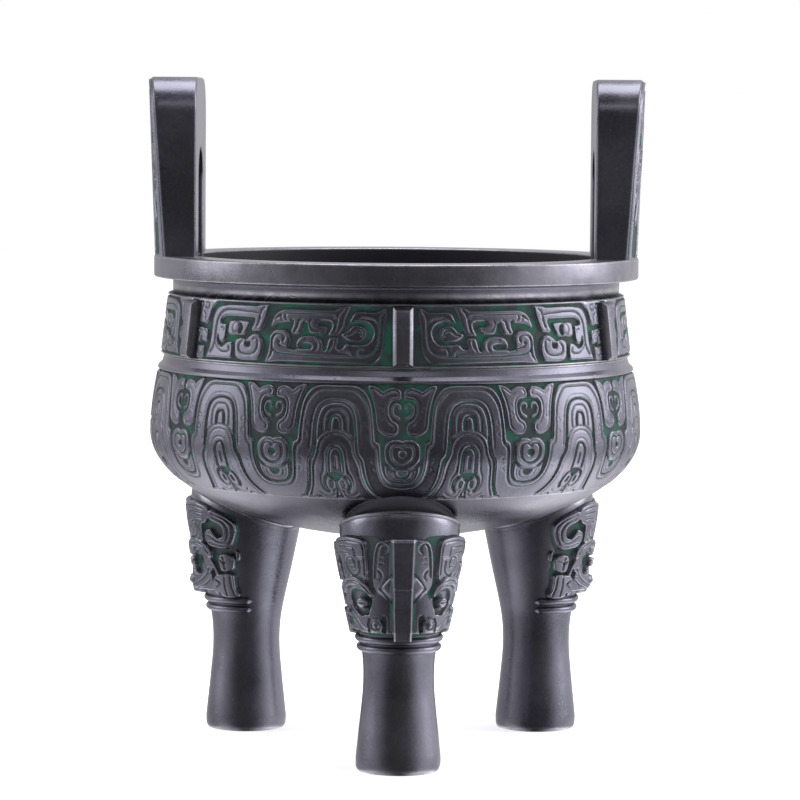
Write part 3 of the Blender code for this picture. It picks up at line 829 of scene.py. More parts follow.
@dataclass
class DragonBand(CarvedBand):
    """The upper band: six panels of coiled dragons, each the mirror of the one beside it."""

    panels: int = 6
    columns: int = 236
    rows: int = 60
    margin: float = 0.5
    buried: float = 2.4
    sunk: float = 0.0030

    def carve(self, tablet: Tablet) -> None:
        """Cut one panel, measured from the flange where the dragon's head lies.

        Args:
            tablet: The field to carve.
        """
        top = self.wall.relief / MM - 0.1
        low = 0.08
        body = [
            (7.4, 1.4), (7.4, 1.4), (6.9, 4.2), (7.9, 10), (8.3, 18), (9.5, 22.4), (12, 25.0),
            (16, 25.6), (50, 25.2), (58, 25.6), (62.4, 26.0), (62.4, 26.0), (61.0, 22.4),
            (60.5, 19), (60.3, 14.8), (58.2, 12.4), (55, 11.8), (51.9, 12.6), (50.6, 15.2),
            (50.9, 18.2), (51.2, 19.9), (47.0, 20.1), (47.2, 17.4), (45.4, 14.9), (41, 14.0),
            (37, 14.8), (35.4, 17), (34.9, 20.2), (33.4, 19.8), (32.0, 15.2), (28.4, 14.8),
            (29.0, 18.4), (27.8, 19.6), (26.0, 19.2), (24.4, 17.4), (21, 17.6), (16.6, 17.6),
            (13.6, 15.6), (12.6, 12), (14.2, 8.9), (18, 7.4), (22.4, 7.9), (23.6, 9.6),
            (25.2, 12.8), (25.2, 12.8), (23.6, 9), (21.4, 4.4), (19, 3.2), (12, 3.4), (9.4, 2.6)
        ]
        tablet.raise_plate(body, top)
        coil = [
            (24.6, 15.2), (21, 15.9), (17.2, 14.9), (15.9, 12), (17.6, 9.6), (21.4, 9.4),
            (24.0, 12.0), (26.6, 13.2)
        ]
        tablet.raise_plate(coil, top * 0.95)
        tablet.strokes((
            ([(17.6, 13.6), (18.3, 11.6), (20.6, 11.4), (22.6, 12.9), (24.6, 13.6)], 0.9, -0.8),
            ([(8.6, 3.0), (10.2, 6.6), (10.4, 12), (10.9, 17.2), (12.6, 20.6), (16.4, 22.2),
              (25, 22.7), (40, 22.6), (55, 21.9), (58.6, 20.4)], 0.85, -0.55),
            ([(10.6, 8.8), (11.8, 6.9), (14.4, 5.9), (19.0, 5.9), (21.6, 7.6)], 0.75, -0.42),
            ([(16.8, 19.2), (18.6, 18.9), (19.6, 20.4), (19.4, 22)], 0.75, -0.5),
            ([(27.4, 20.2), (24.2, 20.4), (22.9, 21.4), (23.0, 22.4)], 0.75, -0.5),
            ([(30.4, 16), (30.8, 18.4), (32.2, 20.2)], 0.7, -0.5),
            ([(38.2, 20.3), (37.3, 18.8), (37.6, 16.6), (39.6, 15.5), (43.2, 15.6)], 0.75, -0.5),
        ))
        tablet.sink([
            (40.2, 17.9), (42.6, 17.2), (45.4, 17.9), (46.8, 19.6), (43.4, 19.9), (40.2, 19.5)
        ], low, 0.35)
        tablet.stroke([
            (58.6, 20.4), (58.9, 16.6), (57.6, 14.2), (54.8, 13.7), (53.0, 15.0), (53.4, 16.6)
        ], 0.85, -0.6)
        tablet.dome((55.6, 17.0), 0.8, -0.6)
        tablet.stroke([(51.4, 19.4), (53.6, 19.0), (55.4, 18.4)], 0.8, -0.7)
        tablet.stroke([(58.6, 20.6), (59.2, 23.0), (60.8, 24.8)], 0.75, -0.5)

        bar = [
            (23.0, 1.1), (23.0, 1.1), (23.7, 2.8), (25.2, 6), (26.2, 10), (28.4, 13.0),
            (31.2, 13.4), (31.8, 13.6), (32.6, 13.4), (31.0, 10.4), (31.4, 8.0), (34, 7.4),
            (37, 7.6), (37.8, 9.2), (36.2, 9.9), (33.8, 10.0), (34.4, 12.4), (38, 13.2),
            (41.2, 12.6), (42.0, 10.4), (42.6, 8.4), (43.6, 8.4), (44.2, 10.6), (45.8, 12.9),
            (49.8, 13.2), (50.0, 12.4), (49.0, 9.4), (49.2, 7.3), (51.0, 8.2), (56, 8.8),
            (60.4, 10.6), (60.4, 10.6), (58.4, 5.8), (55, 3.4), (50, 2.8), (30, 2.9), (26.8, 1.4)
        ]
        tablet.raise_plate(bar, top)
        tablet.strokes((
            ([(26, 2.4), (27.9, 4.8), (28.8, 8)], 0.7, -0.5),
            ([(29.8, 12.2), (28.9, 9.4), (29.2, 6.6), (31.2, 5.3), (40, 4.8), (50, 4.7), (55, 5.3),
              (58, 7.2)], 0.8, -0.5),
            ([(34.6, 11.0), (37, 11.7), (40, 11.0), (41.2, 8.8), (40.4, 7.4)], 0.65, -0.35),
            ([(44.9, 7.1), (46.2, 7.9), (47, 10.8), (48.4, 12.7)], 0.75, -0.5),
        ))
        for x in (52.8, 55.2):
            tablet.stroke([(x, 5.2), (x + 0.1, 6.6), (x - 0.9, 7.4)], 0.6, -0.45)
        tablet.stroke([(55.3, 5.4), (57.0, 7.0)], 0.6, -0.4)

        eye = [
            (61.4, 1.2), (61.4, 1.2), (62.0, 4), (63.2, 8), (65.2, 12.0), (68.2, 12.8),
            (70.6, 12.4), (69.2, 9.6), (69.0, 7.6), (71.0, 7.0), (85.2, 6.8), (88.4, 8.0),
            (89.0, 10.2), (85.6, 10.6), (85.2, 12.2), (85.4, 15.4), (86.2, 17.6), (88.2, 18.6),
            (89.6, 17.6), (90.4, 15.6), (90.2, 18.8), (88.0, 20.4), (84.4, 18.4), (82.0, 18.2),
            (80.7, 20.0), (80.7, 24.0), (82.4, 25.3), (90, 25.3), (98.4, 25.6), (98.4, 25.6),
            (96.4, 22), (95.4, 17), (94.9, 8.4), (93.0, 4.4), (89.6, 2.6), (80, 1.9), (68, 2.0),
            (66, 1.4)
        ]
        tablet.raise_plate(eye, top)
        tablet.strokes((
            ([(63.6, 2.6), (65.5, 4.2), (66.2, 8), (67.4, 11)], 0.7, -0.5),
            ([(66.4, 5.1), (75, 4.5), (84, 4.3), (88.4, 5.2), (91.2, 8.2), (92.1, 12), (92.3, 18),
              (93.2, 20.8), (95.4, 23.6)], 0.8, -0.52),
            ([(83.2, 20.0), (82.6, 21.6), (84.4, 22.6), (88, 22.4), (90.6, 20.9),
              (92, 19.4)], 0.75, -0.45),
            ([(86.9, 13.8), (86.9, 12.7), (88.6, 12.2)], 0.65, -0.4),
        ))
        pad = [
            (71.8, 9.3), (76, 8.8), (83.2, 9.0), (84.2, 10.6), (84.2, 14.6), (81.0, 15.0),
            (74.8, 14.6), (72.8, 12.2)
        ]
        tablet.raise_plate(pad, top * 0.9)
        tablet.stroke([(76.9, 10.2), (76.0, 12.0), (76.9, 13.9)], 1.1, -0.8)
        tablet.dome((79.0, 12.0), 2.7, 0.75)

        curl = [
            (68.4, 14.0), (65.6, 15.2), (64.2, 18), (64.2, 22), (66, 25.0), (70, 25.5), (76, 25.4),
            (78.6, 24.2), (79.4, 20), (79.0, 17.2), (76.0, 16.2), (73.4, 16.8), (71.2, 15.2)
        ]
        tablet.raise_plate(curl, top)
        tablet.stroke([
            (69.0, 16.5), (67.4, 16.0), (66.4, 17.4), (66.8, 20.6), (68.6, 22.5), (72, 23),
            (75.5, 22.5), (76.9, 20.5), (76.4, 18.6), (75, 17.6)
        ], 0.8, -0.5)
        tablet.dome((72.0, 18.6), 1.6, -1.1)

        leaf = [
            (92.6, 0.9), (92.6, 0.9), (95.8, 4), (97.8, 9), (99.8, 10.9), (104.6, 11.2),
            (107.6, 11.2), (107.6, 0.6), (97, 0.6)
        ]
        tablet.raise_plate(leaf, top)
        tablet.strokes((
            ([(101.8, 2.2), (99.8, 1.8), (98.8, 3.2), (100.2, 4.4), (102, 4.0)], 0.65, -0.4),
            ([(105.6, 2.0), (103.8, 1.9), (103.4, 3.2), (105.0, 3.6)], 0.6, -0.4),
            ([(102.4, 6.0), (101.0, 7.2), (101.4, 9.2)], 0.6, -0.35),
        ))
        stem = [
            (98.0, 13.6), (100.2, 12.8), (107.6, 12.8), (107.6, 19.2), (102.6, 19.0), (98.8, 18.8),
            (97.6, 17.0)
        ]
        tablet.raise_plate(stem, top * 0.95)
        tablet.stroke([(99.4, 17.6), (99.0, 15.4), (100.8, 14.0), (104, 14.0)], 0.6, -0.4)
        tablet.stroke([(102.6, 17.2), (103.2, 18.6), (101.8, 19.6)], 1.1, -0.7)
        base = [(99.8, 20.9), (103.0, 20.4), (107.6, 20.4), (107.6, 25.6), (100.2, 25.6)]
        tablet.raise_plate(base, top * 0.95)
        tablet.stroke([(101.0, 22.0), (101.6, 23.8), (104.0, 24.6)], 0.6, -0.35)

        for y in (0.35, 26.95):
            tablet.band([(-2.0, y), (112.0, y)], 0.7, top * 0.95, 0.25)

    def make(self) -> bpy.types.Object:
        """Build the whole ring."""
        length = 2.0 * math.pi * self.wall.dragon_pitch / self.panels / MM
        tall = (self.wall.dragon_bottom - self.wall.dragon_top) / MM
        down = np.linspace(-self.margin, tall + self.margin, self.rows + 1)
        tablet = Tablet(np.linspace(0.0, length, self.columns + 1), down)
        self.carve(tablet)
        outside = np.maximum(-tablet.down, tablet.down - tall)
        tablet.height -= self.buried * soft_step(outside / self.margin)
        panel = tablet.relief()
        pair = np.concatenate([panel[:, 1:], panel[:, -2::-1]], axis=1)
        heights = np.concatenate([panel[:, :1]] + [pair] * (self.panels // 2), axis=1)

        def surface(angle: np.ndarray, down: np.ndarray, lift: np.ndarray) -> np.ndarray:
            """Place points on the wall under the neck."""
            depth = self.wall.dragon_top + down
            return self.wall.point(angle, depth, self.wall.dragon_ground, lift)

        turn = (0.0, 2.0 * math.pi)
        return self.build("dragon_band", heights, turn, down * MM, surface, self.sunk)


# Turned and built-up pieces -------------------------------------------------------------------


def filleted(corners: Sequence[Triple], steps: int = 4) -> list[Point]:
    """Round the corners of an open profile.

    Args:
        corners: Places with the radius of the fillet at each.
        steps: Straight pieces in each fillet.

    Returns:
        The places of the finished profile.
    """
    places = [Vector(corner[:2]) for corner in corners]
    out = [tuple(places[0])]
    for i in range(1, len(places) - 1):
        radius = corners[i][2]
        back, ahead = places[i - 1] - places[i], places[i + 1] - places[i]
        if radius <= 0.0:
            out.append(tuple(places[i]))
            continue
        half = back.angle(ahead) / 2.0
        reach = min(radius / math.tan(half), back.length * 0.49, ahead.length * 0.49)
        start = places[i] + back.normalized() * reach
        end = places[i] + ahead.normalized() * reach
        for k in range(steps + 1):
            t = k / steps
            bent = (1 - t) ** 2 * start + 2 * t * (1 - t) * places[i] + t**2 * end
            out.append(tuple(bent))
    out.append(tuple(places[-1]))
    return out


def turned_mesh(profile: Points, centre: Vector, steps: int) -> bpy.types.Mesh:
    """Turn a profile of (radius, height) round an upright axis into a closed mesh."""
    work = bmesh.new()
    verts = [work.verts.new((centre.x + r, centre.y, z)) for r, z in profile]
    edges = [work.edges.new(pair) for pair in zip(verts, verts[1:])]
    bmesh.ops.spin(
        work,
        geom=verts + edges,
        cent=centre,
        axis=(0.0, 0.0, 1.0),
        dvec=(0.0, 0.0, 0.0),
        angle=2.0 * math.pi,
        steps=steps,
        use_merge=True,
    )
    bmesh.ops.remove_doubles(work, verts=work.verts, dist=1e-6)
    bmesh.ops.recalc_face_normals(work, faces=work.faces)
    mesh = bpy.data.meshes.new("turned")
    work.to_mesh(mesh)
    work.free()
    return mesh


def bevel(work: bmesh.types.BMesh, edges: list, offset: float, segments: int) -> None:
    """Bevel edges by an offset in metres, in a number of steps."""
    options = {"profile": 0.5, "affect": "EDGES", "material": -1}
    bmesh.ops.bevel(work, geom=edges, offset=offset, segments=segments, **options)


def note_edges(
    mesh: bpy.types.Mesh, sharp: float = 0.5, level: float | np.ndarray | None = 1.0
) -> None:
    """Mark how sharply every corner of a plain mesh stands out or lies in.

    Args:
        mesh: The mesh to mark.
        sharp: Bend, in radians, that counts as a full edge.
        level: The height that the finish takes it to be at; on a plain piece a low level gets
            painted shade. None leaves what is marked.
    """
    work = bmesh.new()
    work.from_mesh(mesh)
    hollow = []
    for vert in work.verts:
        bends = [edge.calc_face_angle_signed(0.0) for edge in vert.link_edges]
        hollow.append(-sum(bends) / max(len(bends), 1) / sharp)
    work.free()
    set_number(mesh, "hollow", np.array(hollow))
    if level is not None:
        set_number(mesh, "level", np.broadcast_to(level, len(hollow)))


@dataclass
class Bowl:
    """The turned bowl with its flat rim, its neck and the plain wall under the bands."""

    wall: BowlWall
    shop: Workshop
    finish: bpy.types.Material
    steps: int = 192
    behind_bands: float = 0.0011
    rim_wear: float = -0.55

    def profile(self) -> list[Point]:
        """Return (radius, height) from the middle of the underside round to the floor."""
        wall = self.wall
        wave_foot = float(wall.wave_depth(np.array(0.0535)))
        below = np.linspace(wall.lowest, wave_foot + 0.0001, 18)[1:]
        outside = [(0.0, wall.lowest, 0.0)]
        outside += [(float(wall.belly(d)) - 0.00003, d, 0.0) for d in below]
        under = np.linspace(wave_foot - 0.0008, wall.wave_top + 0.0006, 14)
        outside += [(float(wall.wave_ground(d)) - self.behind_bands, d, 0.0) for d in under]
        lip = [
            (float(wall.wave_ground(wall.wave_top)) - self.behind_bands, wall.wave_top, 0.0),
            (wall.shoulder_radius, wall.wave_top, 0.0005),
            (wall.shoulder_radius - 0.0004, wall.wave_top - 0.0014, 0.0005),
            (wall.shoulder_radius - 0.0021, wall.wave_top - 0.0030, 0.0012),
            (wall.dragon_bottom_radius - 0.0004, wall.dragon_bottom + 0.0012, 0.0005),
            (wall.dragon_bottom_radius - 0.0002, wall.dragon_bottom - 0.0001, 0.0),
            (wall.dragon_bottom_radius - 0.0015, wall.dragon_bottom - 0.0004, 0.0),
            (wall.dragon_top_radius - 0.0020, wall.dragon_top + 0.0004, 0.0),
            (wall.neck_radius, wall.dragon_top + 0.0003, 0.0),
            (wall.neck_radius, wall.rim_depth + 0.0006, 0.0012),
            (wall.rim_radius, wall.rim_depth, 0.0010),
            (wall.rim_radius, 0.0, 0.0011),
            (wall.mouth_radius, 0.0, 0.0012),
            (wall.mouth_radius, 0.0120, 0.0060),
            (wall.mouth_radius + wall.mouth_widening, 0.0230, 0.0060),
        ]
        inner = np.linspace(0.0400, wall.floor - 0.0002, 22)
        inside = [(float(wall.belly(d, wall.wall)), d, 0.0) for d in inner]
        inside.append((0.0, wall.floor, 0.0))
        turned = filleted(outside + lip + inside)
        return [(radius, RIM_HEIGHT - depth) for radius, depth in turned]

    def inside_of(self, corners: np.ndarray) -> np.ndarray:
        """Tell which corners belong to the bowl's inner surface."""
        radius = np.hypot(corners[:, 0], corners[:, 1])
        depth = RIM_HEIGHT - corners[:, 2]
        middle = np.where(
            depth < self.wall.wave_top,
            self.wall.neck_radius - 0.0030,
            self.wall.belly(depth) - 0.5 * self.wall.wall,
        )
        return (radius < middle) & (depth < 0.5 * (self.wall.floor + self.wall.lowest))

    def make(self) -> bpy.types.Object:
        """Turn the bowl."""
        mesh = turned_mesh(self.profile(), Vector((0.0, 0.0, 0.0)), self.steps)
        corners = read_corners(mesh)
        # The bowl's inside, from just under the rim's top down, gets a low level, so the finish
        # paints shade over it.
        below = (RIM_HEIGHT - corners[:, 2] - 0.0002) / 0.0008
        inside = self.inside_of(corners)
        note_edges(mesh, 0.25, 1.0 - np.where(inside, soft_step(below), 0.0))
        radius = np.hypot(corners[:, 0], corners[:, 1])
        held = (radius > self.wall.rim_radius - 0.004) & (RIM_HEIGHT - corners[:, 2] < 0.0105)
        marked = read_number(mesh, "hollow")
        set_number(mesh, "hollow", np.where(held, np.minimum(marked, self.rim_wear), marked))
        return self.shop.piece("bowl", mesh, self.finish)


@dataclass
class Flanges:
    """Six upright ribs across the dragon band, each a bevelled bar with a sunk panel."""

    wall: BowlWall
    shop: Workshop
    finish: bpy.types.Material
    count: int = 6
    width: float = 0.0088
    top: float = 0.0182
    bottom: float = 0.0438
    reach: float = 0.0046
    chamfer: float = 0.0016
    border: float = 0.0013
    rounding: float = 0.00022
    let_in: float = 0.0026

    def bar(self, angle: float) -> bpy.types.Mesh:
        """Build one flange at an angle round the bowl."""
        work = bmesh.new()
        bmesh.ops.create_cube(work, size=1.0)
        tall = self.bottom - self.top
        bmesh.ops.scale(work, verts=work.verts, vec=(self.width, 1.0, tall))
        middle = (self.top + self.bottom) / 2.0
        for vert in work.verts:
            depth = middle - vert.co.z
            ground = float(self.wall.dragon_ground(np.array(depth)))
            vert.co.y = -(ground + (self.reach if vert.co.y < 0.0 else -self.let_in))
            vert.co.z = RIM_HEIGHT - depth
        front = min(work.faces, key=lambda face: face.calc_center_median().y)
        bevel(work, list(front.edges), self.chamfer, 1)
        front = min(work.faces, key=lambda face: face.calc_center_median().y)
        bmesh.ops.inset_region(work, faces=[front], thickness=self.border, depth=0.0)
        bmesh.ops.inset_region(work, faces=[front], thickness=0.0003, depth=-0.00035)
        sharp = [edge for edge in work.edges if edge.calc_face_angle(0.0) > 0.3]
        bevel(work, sharp, self.rounding, 2)
        turn = Matrix.Rotation(angle, 3, "Z")
        bmesh.ops.rotate(work, cent=(0.0, 0.0, 0.0), matrix=turn, verts=work.verts)
        bmesh.ops.recalc_face_normals(work, faces=work.faces)
        mesh = bpy.data.meshes.new("flange")
        work.to_mesh(mesh)
        work.free()
        return mesh

    def make(self) -> list[bpy.types.Object]:
        """Build all six."""
        made = []
        for flange in range(self.count):
            mesh = self.bar(2.0 * math.pi * flange / self.count)
            note_edges(mesh, 0.4)
            made.append(self.shop.piece(f"flange_{flange + 1}", mesh, self.finish))
        return made


@dataclass
class Handle:
    """An upright handle on the rim, bent like an inverted U, carved on its outer face.

    Attributes:
        shoulder: Radius of its upper corners.
        flare: How much further out its top stands than its foot.
        straighten: How much of the rim's roundness its outer face loses by its top.
        root: How deep it is let into the rim.
        upright: The share of each half that stands straight, below the arch.
        over_the_top: Half the length of the face across the top.
    """

    wall: BowlWall
    shop: Workshop
    finish: bpy.types.Material
    height: float = EAR_HEIGHT
    half_width: float = 0.0341
    gap_half_width: float = 0.0154
    gap_height: float = 0.0485
    shoulder: float = 0.016
    inner_x: float = 0.0903
    flare: float = 0.0022
    straighten: float = 0.6
    root: float = 0.004
    upright: float = 0.36
    turn: float = math.radians(-2.5)
    corner: float = 0.0013
    highest_relief: float = 0.0012
    over_the_top: float = 0.018
    face_cells: int = 46
    side_cells: int = 8
    corner_cells: int = 4
    steps: int = 300

    def outer_x(self, across: np.ndarray, height: np.ndarray) -> np.ndarray:
        """Return how far out the outer face lies: round like the rim below, flatter above."""
        share = np.clip(height / self.height, 0.0, 1.0)
        rim = np.sqrt(self.wall.rim_radius**2 - across**2)
        flat = (self.wall.rim_radius - rim) * self.straighten
        return rim + flat * share + self.flare * share

    def outline(self, share: np.ndarray) -> tuple[np.ndarray, np.ndarray]:
        """Return the edge of the opening and the outer edge along the handle.

        Args:
            share: Place along the handle, from -1 at one foot to 1 at the other.

        Returns:
            Two arrays of (across, height) rows.
        """
        spring = self.gap_height - self.gap_half_width
        side = np.sign(share)
        up = np.clip((1.0 - np.abs(share)) / self.upright, 0.0, 1.0)
        height = -self.root + (spring + self.root) * up
        arch = 1.0 - self.upright
        ray = np.clip((arch - np.abs(share)) / arch, 0.0, 1.0) * math.pi / 2.0
        cos, sin = np.cos(ray), np.sin(ray)
        inner = np.stack([self.gap_half_width * cos, height + self.gap_half_width * sin], 1)
        tall = self.height - spring
        reach = np.minimum(self.half_width / np.maximum(cos, 1e-9), tall / np.maximum(sin, 1e-9))
        bend = np.array([self.half_width - self.shoulder, tall - self.shoulder])
        along = cos * bend[0] + sin * bend[1]
        inside = along**2 - bend @ bend + self.shoulder**2
        round_reach = along + np.sqrt(np.maximum(inside, 0.0))
        at_corner = (reach * cos > bend[0]) & (reach * sin > bend[1])
        reach = np.where(at_corner, np.minimum(reach, round_reach), reach)
        outer = np.stack([reach * cos, height + reach * sin], 1)
        inner[:, 0] *= side
        outer[:, 0] *= side
        return inner, outer

    def section(self) -> tuple[np.ndarray, np.ndarray]:
        """Return the loop round the handle as signs of its half sizes and as parts of a corner."""
        loop, bend = [], []
        sides = ((-1, 1, 1, 0), (1, 1, 0, -1), (1, -1, -1, 0), (-1, -1, 0, 1))
        cells = (self.face_cells, self.side_cells, self.side_cells, self.side_cells)
        for index, ((start_a, start_b, step_a, step_b), count) in enumerate(zip(sides, cells)):
            out = -math.pi / 2.0 * index + math.pi / 2.0
            for k in range(count):
                share = 2.0 * k / count
                loop.append((start_a + step_a * share, start_b + step_b * share))
                bend.append((math.cos(out), math.sin(out)))
            for k in range(self.corner_cells):
                turn = out - math.pi / 2.0 * k / self.corner_cells
                loop.append((start_a + 2 * step_a, start_b + 2 * step_b))
                bend.append((math.cos(turn), math.sin(turn)))
        loop.append(loop[0])
        bend.append(bend[0])
        return np.array(loop, float), np.array(bend, float)

    def carve(self, length: float, width: float) -> np.ndarray:
        """Draw the outer face's relief: a coiled dragon up each side, meeting at the top.

        Args:
            length: Length of the face along the handle, in metres.
            width: Its width, in metres.

        Returns:
            Heights in metres by place across and along.
        """
        half, wide = length / 2.0 / MM, width / 2.0 / MM
        along = np.abs(np.linspace(-half, half, self.steps + 1))
        tablet = Tablet(along, np.linspace(-wide, wide, self.face_cells + 1))
        tablet.height += 1.1
        field_edge = wide - 1.7
        end = half - 7.0
        tablet.sink([
            (-4, -field_edge), (end, -field_edge), (end + 3, 0), (end, field_edge),
            (-4, field_edge)
        ], 0.2, 0.35)
        body = [
            (0, 0.6), (7, 4.6), (17, 4.4), (25, -3.6), (35, -4.8), (43, 2.6), (52, 4.6), (62, -2.4),
            (70, -3.8), (78, 0)
        ]
        tablet.band(body, 4.2, 1.1, 0.5)
        tablet.stroke(body, 0.9, -0.45)
        for x, y, way in ((12, -3.4, 1), (30, 3.2, -1), (48, -3.6, 1), (66, 3.6, -1)):
            tablet.band([
                (x - 4.5, y - way), (x, y + 1.4 * way), (x + 4.2, y - 1.2 * way),
                (x + 1.4, y - 3.0 * way)
            ], 2.3, 1.1, 0.4)
            tablet.dome((x + 0.6, y - 0.8 * way), 1.3, 0.5)
        for x in (6.0, 40.0, 57.0):
            tablet.dome((x, -3.6 if x < 50 else 3.4), 2.2, 1.0)
        return tablet.relief()

    def make(self, name: str, base: float) -> bpy.types.Object:
        """Build a handle.

        Args:
            name: Name of the piece.
            base: Angle of the side it stands on.

        Returns:
            The finished piece.
        """
        loop, bend = self.section()
        rows = len(loop) - 1
        mesh, column, row = numbered_grid(self.steps, rows)
        share = 2.0 * column / self.steps - 1.0
        share = np.where(np.abs(share) < 1e-9, 1e-6, share)
        inner, outer = self.outline(share)
        strip = outer - inner
        width = np.linalg.norm(strip, axis=1)
        length = 2.0 * (self.height + self.over_the_top)
        carved = self.carve(length, float(width.min()))
        on_face = row <= self.face_cells
        face_relief = carved[np.minimum(row, self.face_cells), column]
        closing = row == rows
        lift = np.where(on_face, face_relief, self.highest_relief)
        lift = np.where(closing, carved[0, column], lift)
        on_side = (row > self.face_cells) & ~closing
        lift = np.where(on_side, 0.0, np.minimum(lift, self.highest_relief)) - self.highest_relief
        half = width / 2.0 - self.corner
        place = loop[row, 0] * half + bend[row, 0] * self.corner
        middle = (inner + outer) / 2.0
        spot = middle + strip / width[:, None] * place[:, None]
        face_x = self.outer_x(spot[:, 0], spot[:, 1])
        thick = face_x - self.inner_x
        half_thick = thick / 2.0 - self.corner
        depth = loop[row, 1] * half_thick + bend[row, 1] * self.corner
        x = self.inner_x + thick / 2.0 + depth + lift
        places = np.stack([x, spot[:, 0], RIM_HEIGHT + spot[:, 1]], 1)
        spun = np.array(Matrix.Rotation(base + self.turn, 3, "Z"))
        move_corners(mesh, places @ spun.T)
        set_number(mesh, "level", np.where(on_face, face_relief / self.highest_relief, 1.0))
        clean(mesh, cap_ends=True)
        note_edges(mesh, 0.7, None)
        return self.shop.piece(name, mesh, self.finish)


@dataclass
class Leg:
    """A leg that narrows to its waist, coved under the bowl, with a mask and two bead rings.

    Attributes:
        centre: Distance of its axis from the bowl's.
        flat_radius: Radius in millimetres at which the mask is drawn flat.
        mask_turn: Degrees that the mask reaches round to each side of its nose.
        mask_sunk: How deep the mask's hidden side lies inside the leg.
        cove_radius: Distance from the leg's axis at which the cove leaves the bowl.
        cove_height: Middle height of the cove.
        cove_edge: How far the cove's upper edge runs out over the bowl.
        cove_start: Length over which the edge turns down into the cove.
        crease_lip: Rows of (outwards, down) from the crease that ends the cove.
        sole: Rows of (radius, depth) that round the foot under its lowest plain row.
        profile_points: Rows of (depth, radius) of the plain leg, in millimetres.
        ring_turn: Degrees that the bead rings reach round to each side.
        nose: Rows of (depth, reach from the axis, half width), in millimetres.
    """

    wall: BowlWall
    shop: Workshop
    plain: bpy.types.Material
    carved: bpy.types.Material
    centre: float = LEG_CENTRE
    steps: int = 96
    rows_down: int = 46
    flat_radius: float = 23.0
    mask_turn: float = 113.0
    mask_top: float = 113.6
    mask_bottom: float = 161.8
    mask_sunk: float = 0.0025
    columns: int = 252
    rows: int = 122
    cove_radius: float = 0.0216
    cove_height: float = 0.0057
    cove_edge: float = 0.0017
    cove_start: float = 0.0016
    crease_lip: Points = (
        (0.0003, 0.0002),
        (0.0004, 0.0006),
        (0.0001, 0.0010),
        (-0.0001, 0.0013),
        (-0.0001, 0.0016),
        (0.0, 0.0019),
    )
    foot_depth: float = 0.2195
    sole: Points = (
        (0.01845, 0.2208),
        (0.01815, 0.2217),
        (0.01765, RIM_HEIGHT - 0.00015),
        (0.0172, RIM_HEIGHT),
    )
    profile_points: Points = (
        (104.0, 24.6),
        (119.0, 26.2),
        (142.0, 22.1),
        (164.0, 17.3),
        (174.0, 15.8),
        (185.0, 15.6),
        (198.0, 16.7),
        (210.5, 18.0),
        (217.5, 18.7),
        (219.5, 18.6),
    )
    ring_depths: Point = (0.1616, 0.1657)
    ring_turn: float = 127.0
    ring_radius: float = 0.0016
    nose: Sequence[Triple] = (
        (115.0, 29.2, 5.4),
        (117.0, 30.3, 5.4),
        (126.2, 28.8, 5.1),
        (137.6, 28.1, 4.8),
        (146.0, 26.8, 4.6),
        (156.0, 27.3, 4.4),
        (160.6, 26.2, 4.3),
    )
    nose_chamfer: float = 1.1

    def radius(self, depth: np.ndarray) -> np.ndarray:
        """Return the plain leg's radius at depths, all in metres."""
        line = smooth_line(self.profile_points) * MM
        return np.interp(depth, line[:, 0], line[:, 1])

    def spot(self, leg: float, turn: np.ndarray, depth: np.ndarray, lift: np.ndarray) -> np.ndarray:
        """Place points on a leg's surface.

        Args:
            leg: The way the leg faces, round from +X.
            turn: Angles from the mask's nose.
            depth: Depths under the rim.
            lift: Heights over the plain leg.

        Returns:
            One row of x, y, z for each point.
        """
        return self.around(leg, leg + turn, self.radius(depth) + lift, depth)

    def around(
        self, leg: float, angle: np.ndarray, reach: np.ndarray, depth: np.ndarray
    ) -> np.ndarray:
        """Place points round a leg's axis by angle, reach and depth."""
        x = math.cos(leg) * self.centre + np.cos(angle) * reach
        y = math.sin(leg) * self.centre + np.sin(angle) * reach
        return np.stack([x, y, RIM_HEIGHT - depth], 1)

    def belly_over(self, turn: np.ndarray, reach: float) -> np.ndarray:
        """Return how deep the bowl lies over points at a reach from the leg's axis."""
        out = np.hypot(self.centre + reach * np.cos(turn), reach * np.sin(turn))
        return self.wall.depth_at(out)

    def crease(self, turn: np.ndarray) -> np.ndarray:
        """Return how deep the cove ends at angles round the leg."""
        height = self.cove_height * (0.72 + 0.28 * np.cos(2.0 * turn))
        return self.belly_over(turn, self.cove_radius) + height

    def shaft_rows(self, turn: np.ndarray) -> list[tuple[np.ndarray, np.ndarray]]:
        """Return (reach, depth) of every row of the shaft, from under the bowl to the ground.

        Args:
            turn: Angles round the leg from its outermost line.

        Returns:
            Pairs of arrays, one value for each angle.
        """
        whole = np.ones(len(turn))
        start = self.belly_over(turn, self.cove_radius)
        above = self.cove_radius + self.cove_edge
        skirt = self.belly_over(turn, above)
        crease = self.crease(turn)
        outer = self.radius(crease) + 0.0002
        rows = [(above * whole, skirt - 0.0008), (above * whole, skirt - 0.00004)]
        for t in np.arange(1, 6) / 5.0:
            reach = (1 - t) ** 2 * above + (1.0 - (1 - t) ** 2) * self.cove_radius
            bent = 2 * t * (1 - t) * start + t**2 * (start + self.cove_start)
            rows.append((reach * whole, (1 - t) ** 2 * skirt + bent))
        low = crease - start - self.cove_start
        for k in range(1, 9):
            bend = math.pi / 2.0 * k / 8.0
            reach = self.cove_radius + (outer - self.cove_radius) * (1.0 - math.cos(bend))
            rows.append((reach, start + self.cove_start + low * math.sin(bend)))
        for out, down in self.crease_lip:
            rows.append((self.radius(crease + down) + out, crease + down))
        top = crease + self.crease_lip[-1][1]
        for share in np.linspace(0.0, 1.0, self.rows_down + 1)[1:]:
            depth = top + (self.foot_depth - top) * share
            rows.append((self.radius(depth), depth))
        worn = 0.00012 * np.sin(3.0 * turn + 1.0) + 0.00008 * np.sin(7.0 * turn)
        rows += [(reach + worn, down * whole) for reach, down in self.sole]
        return rows

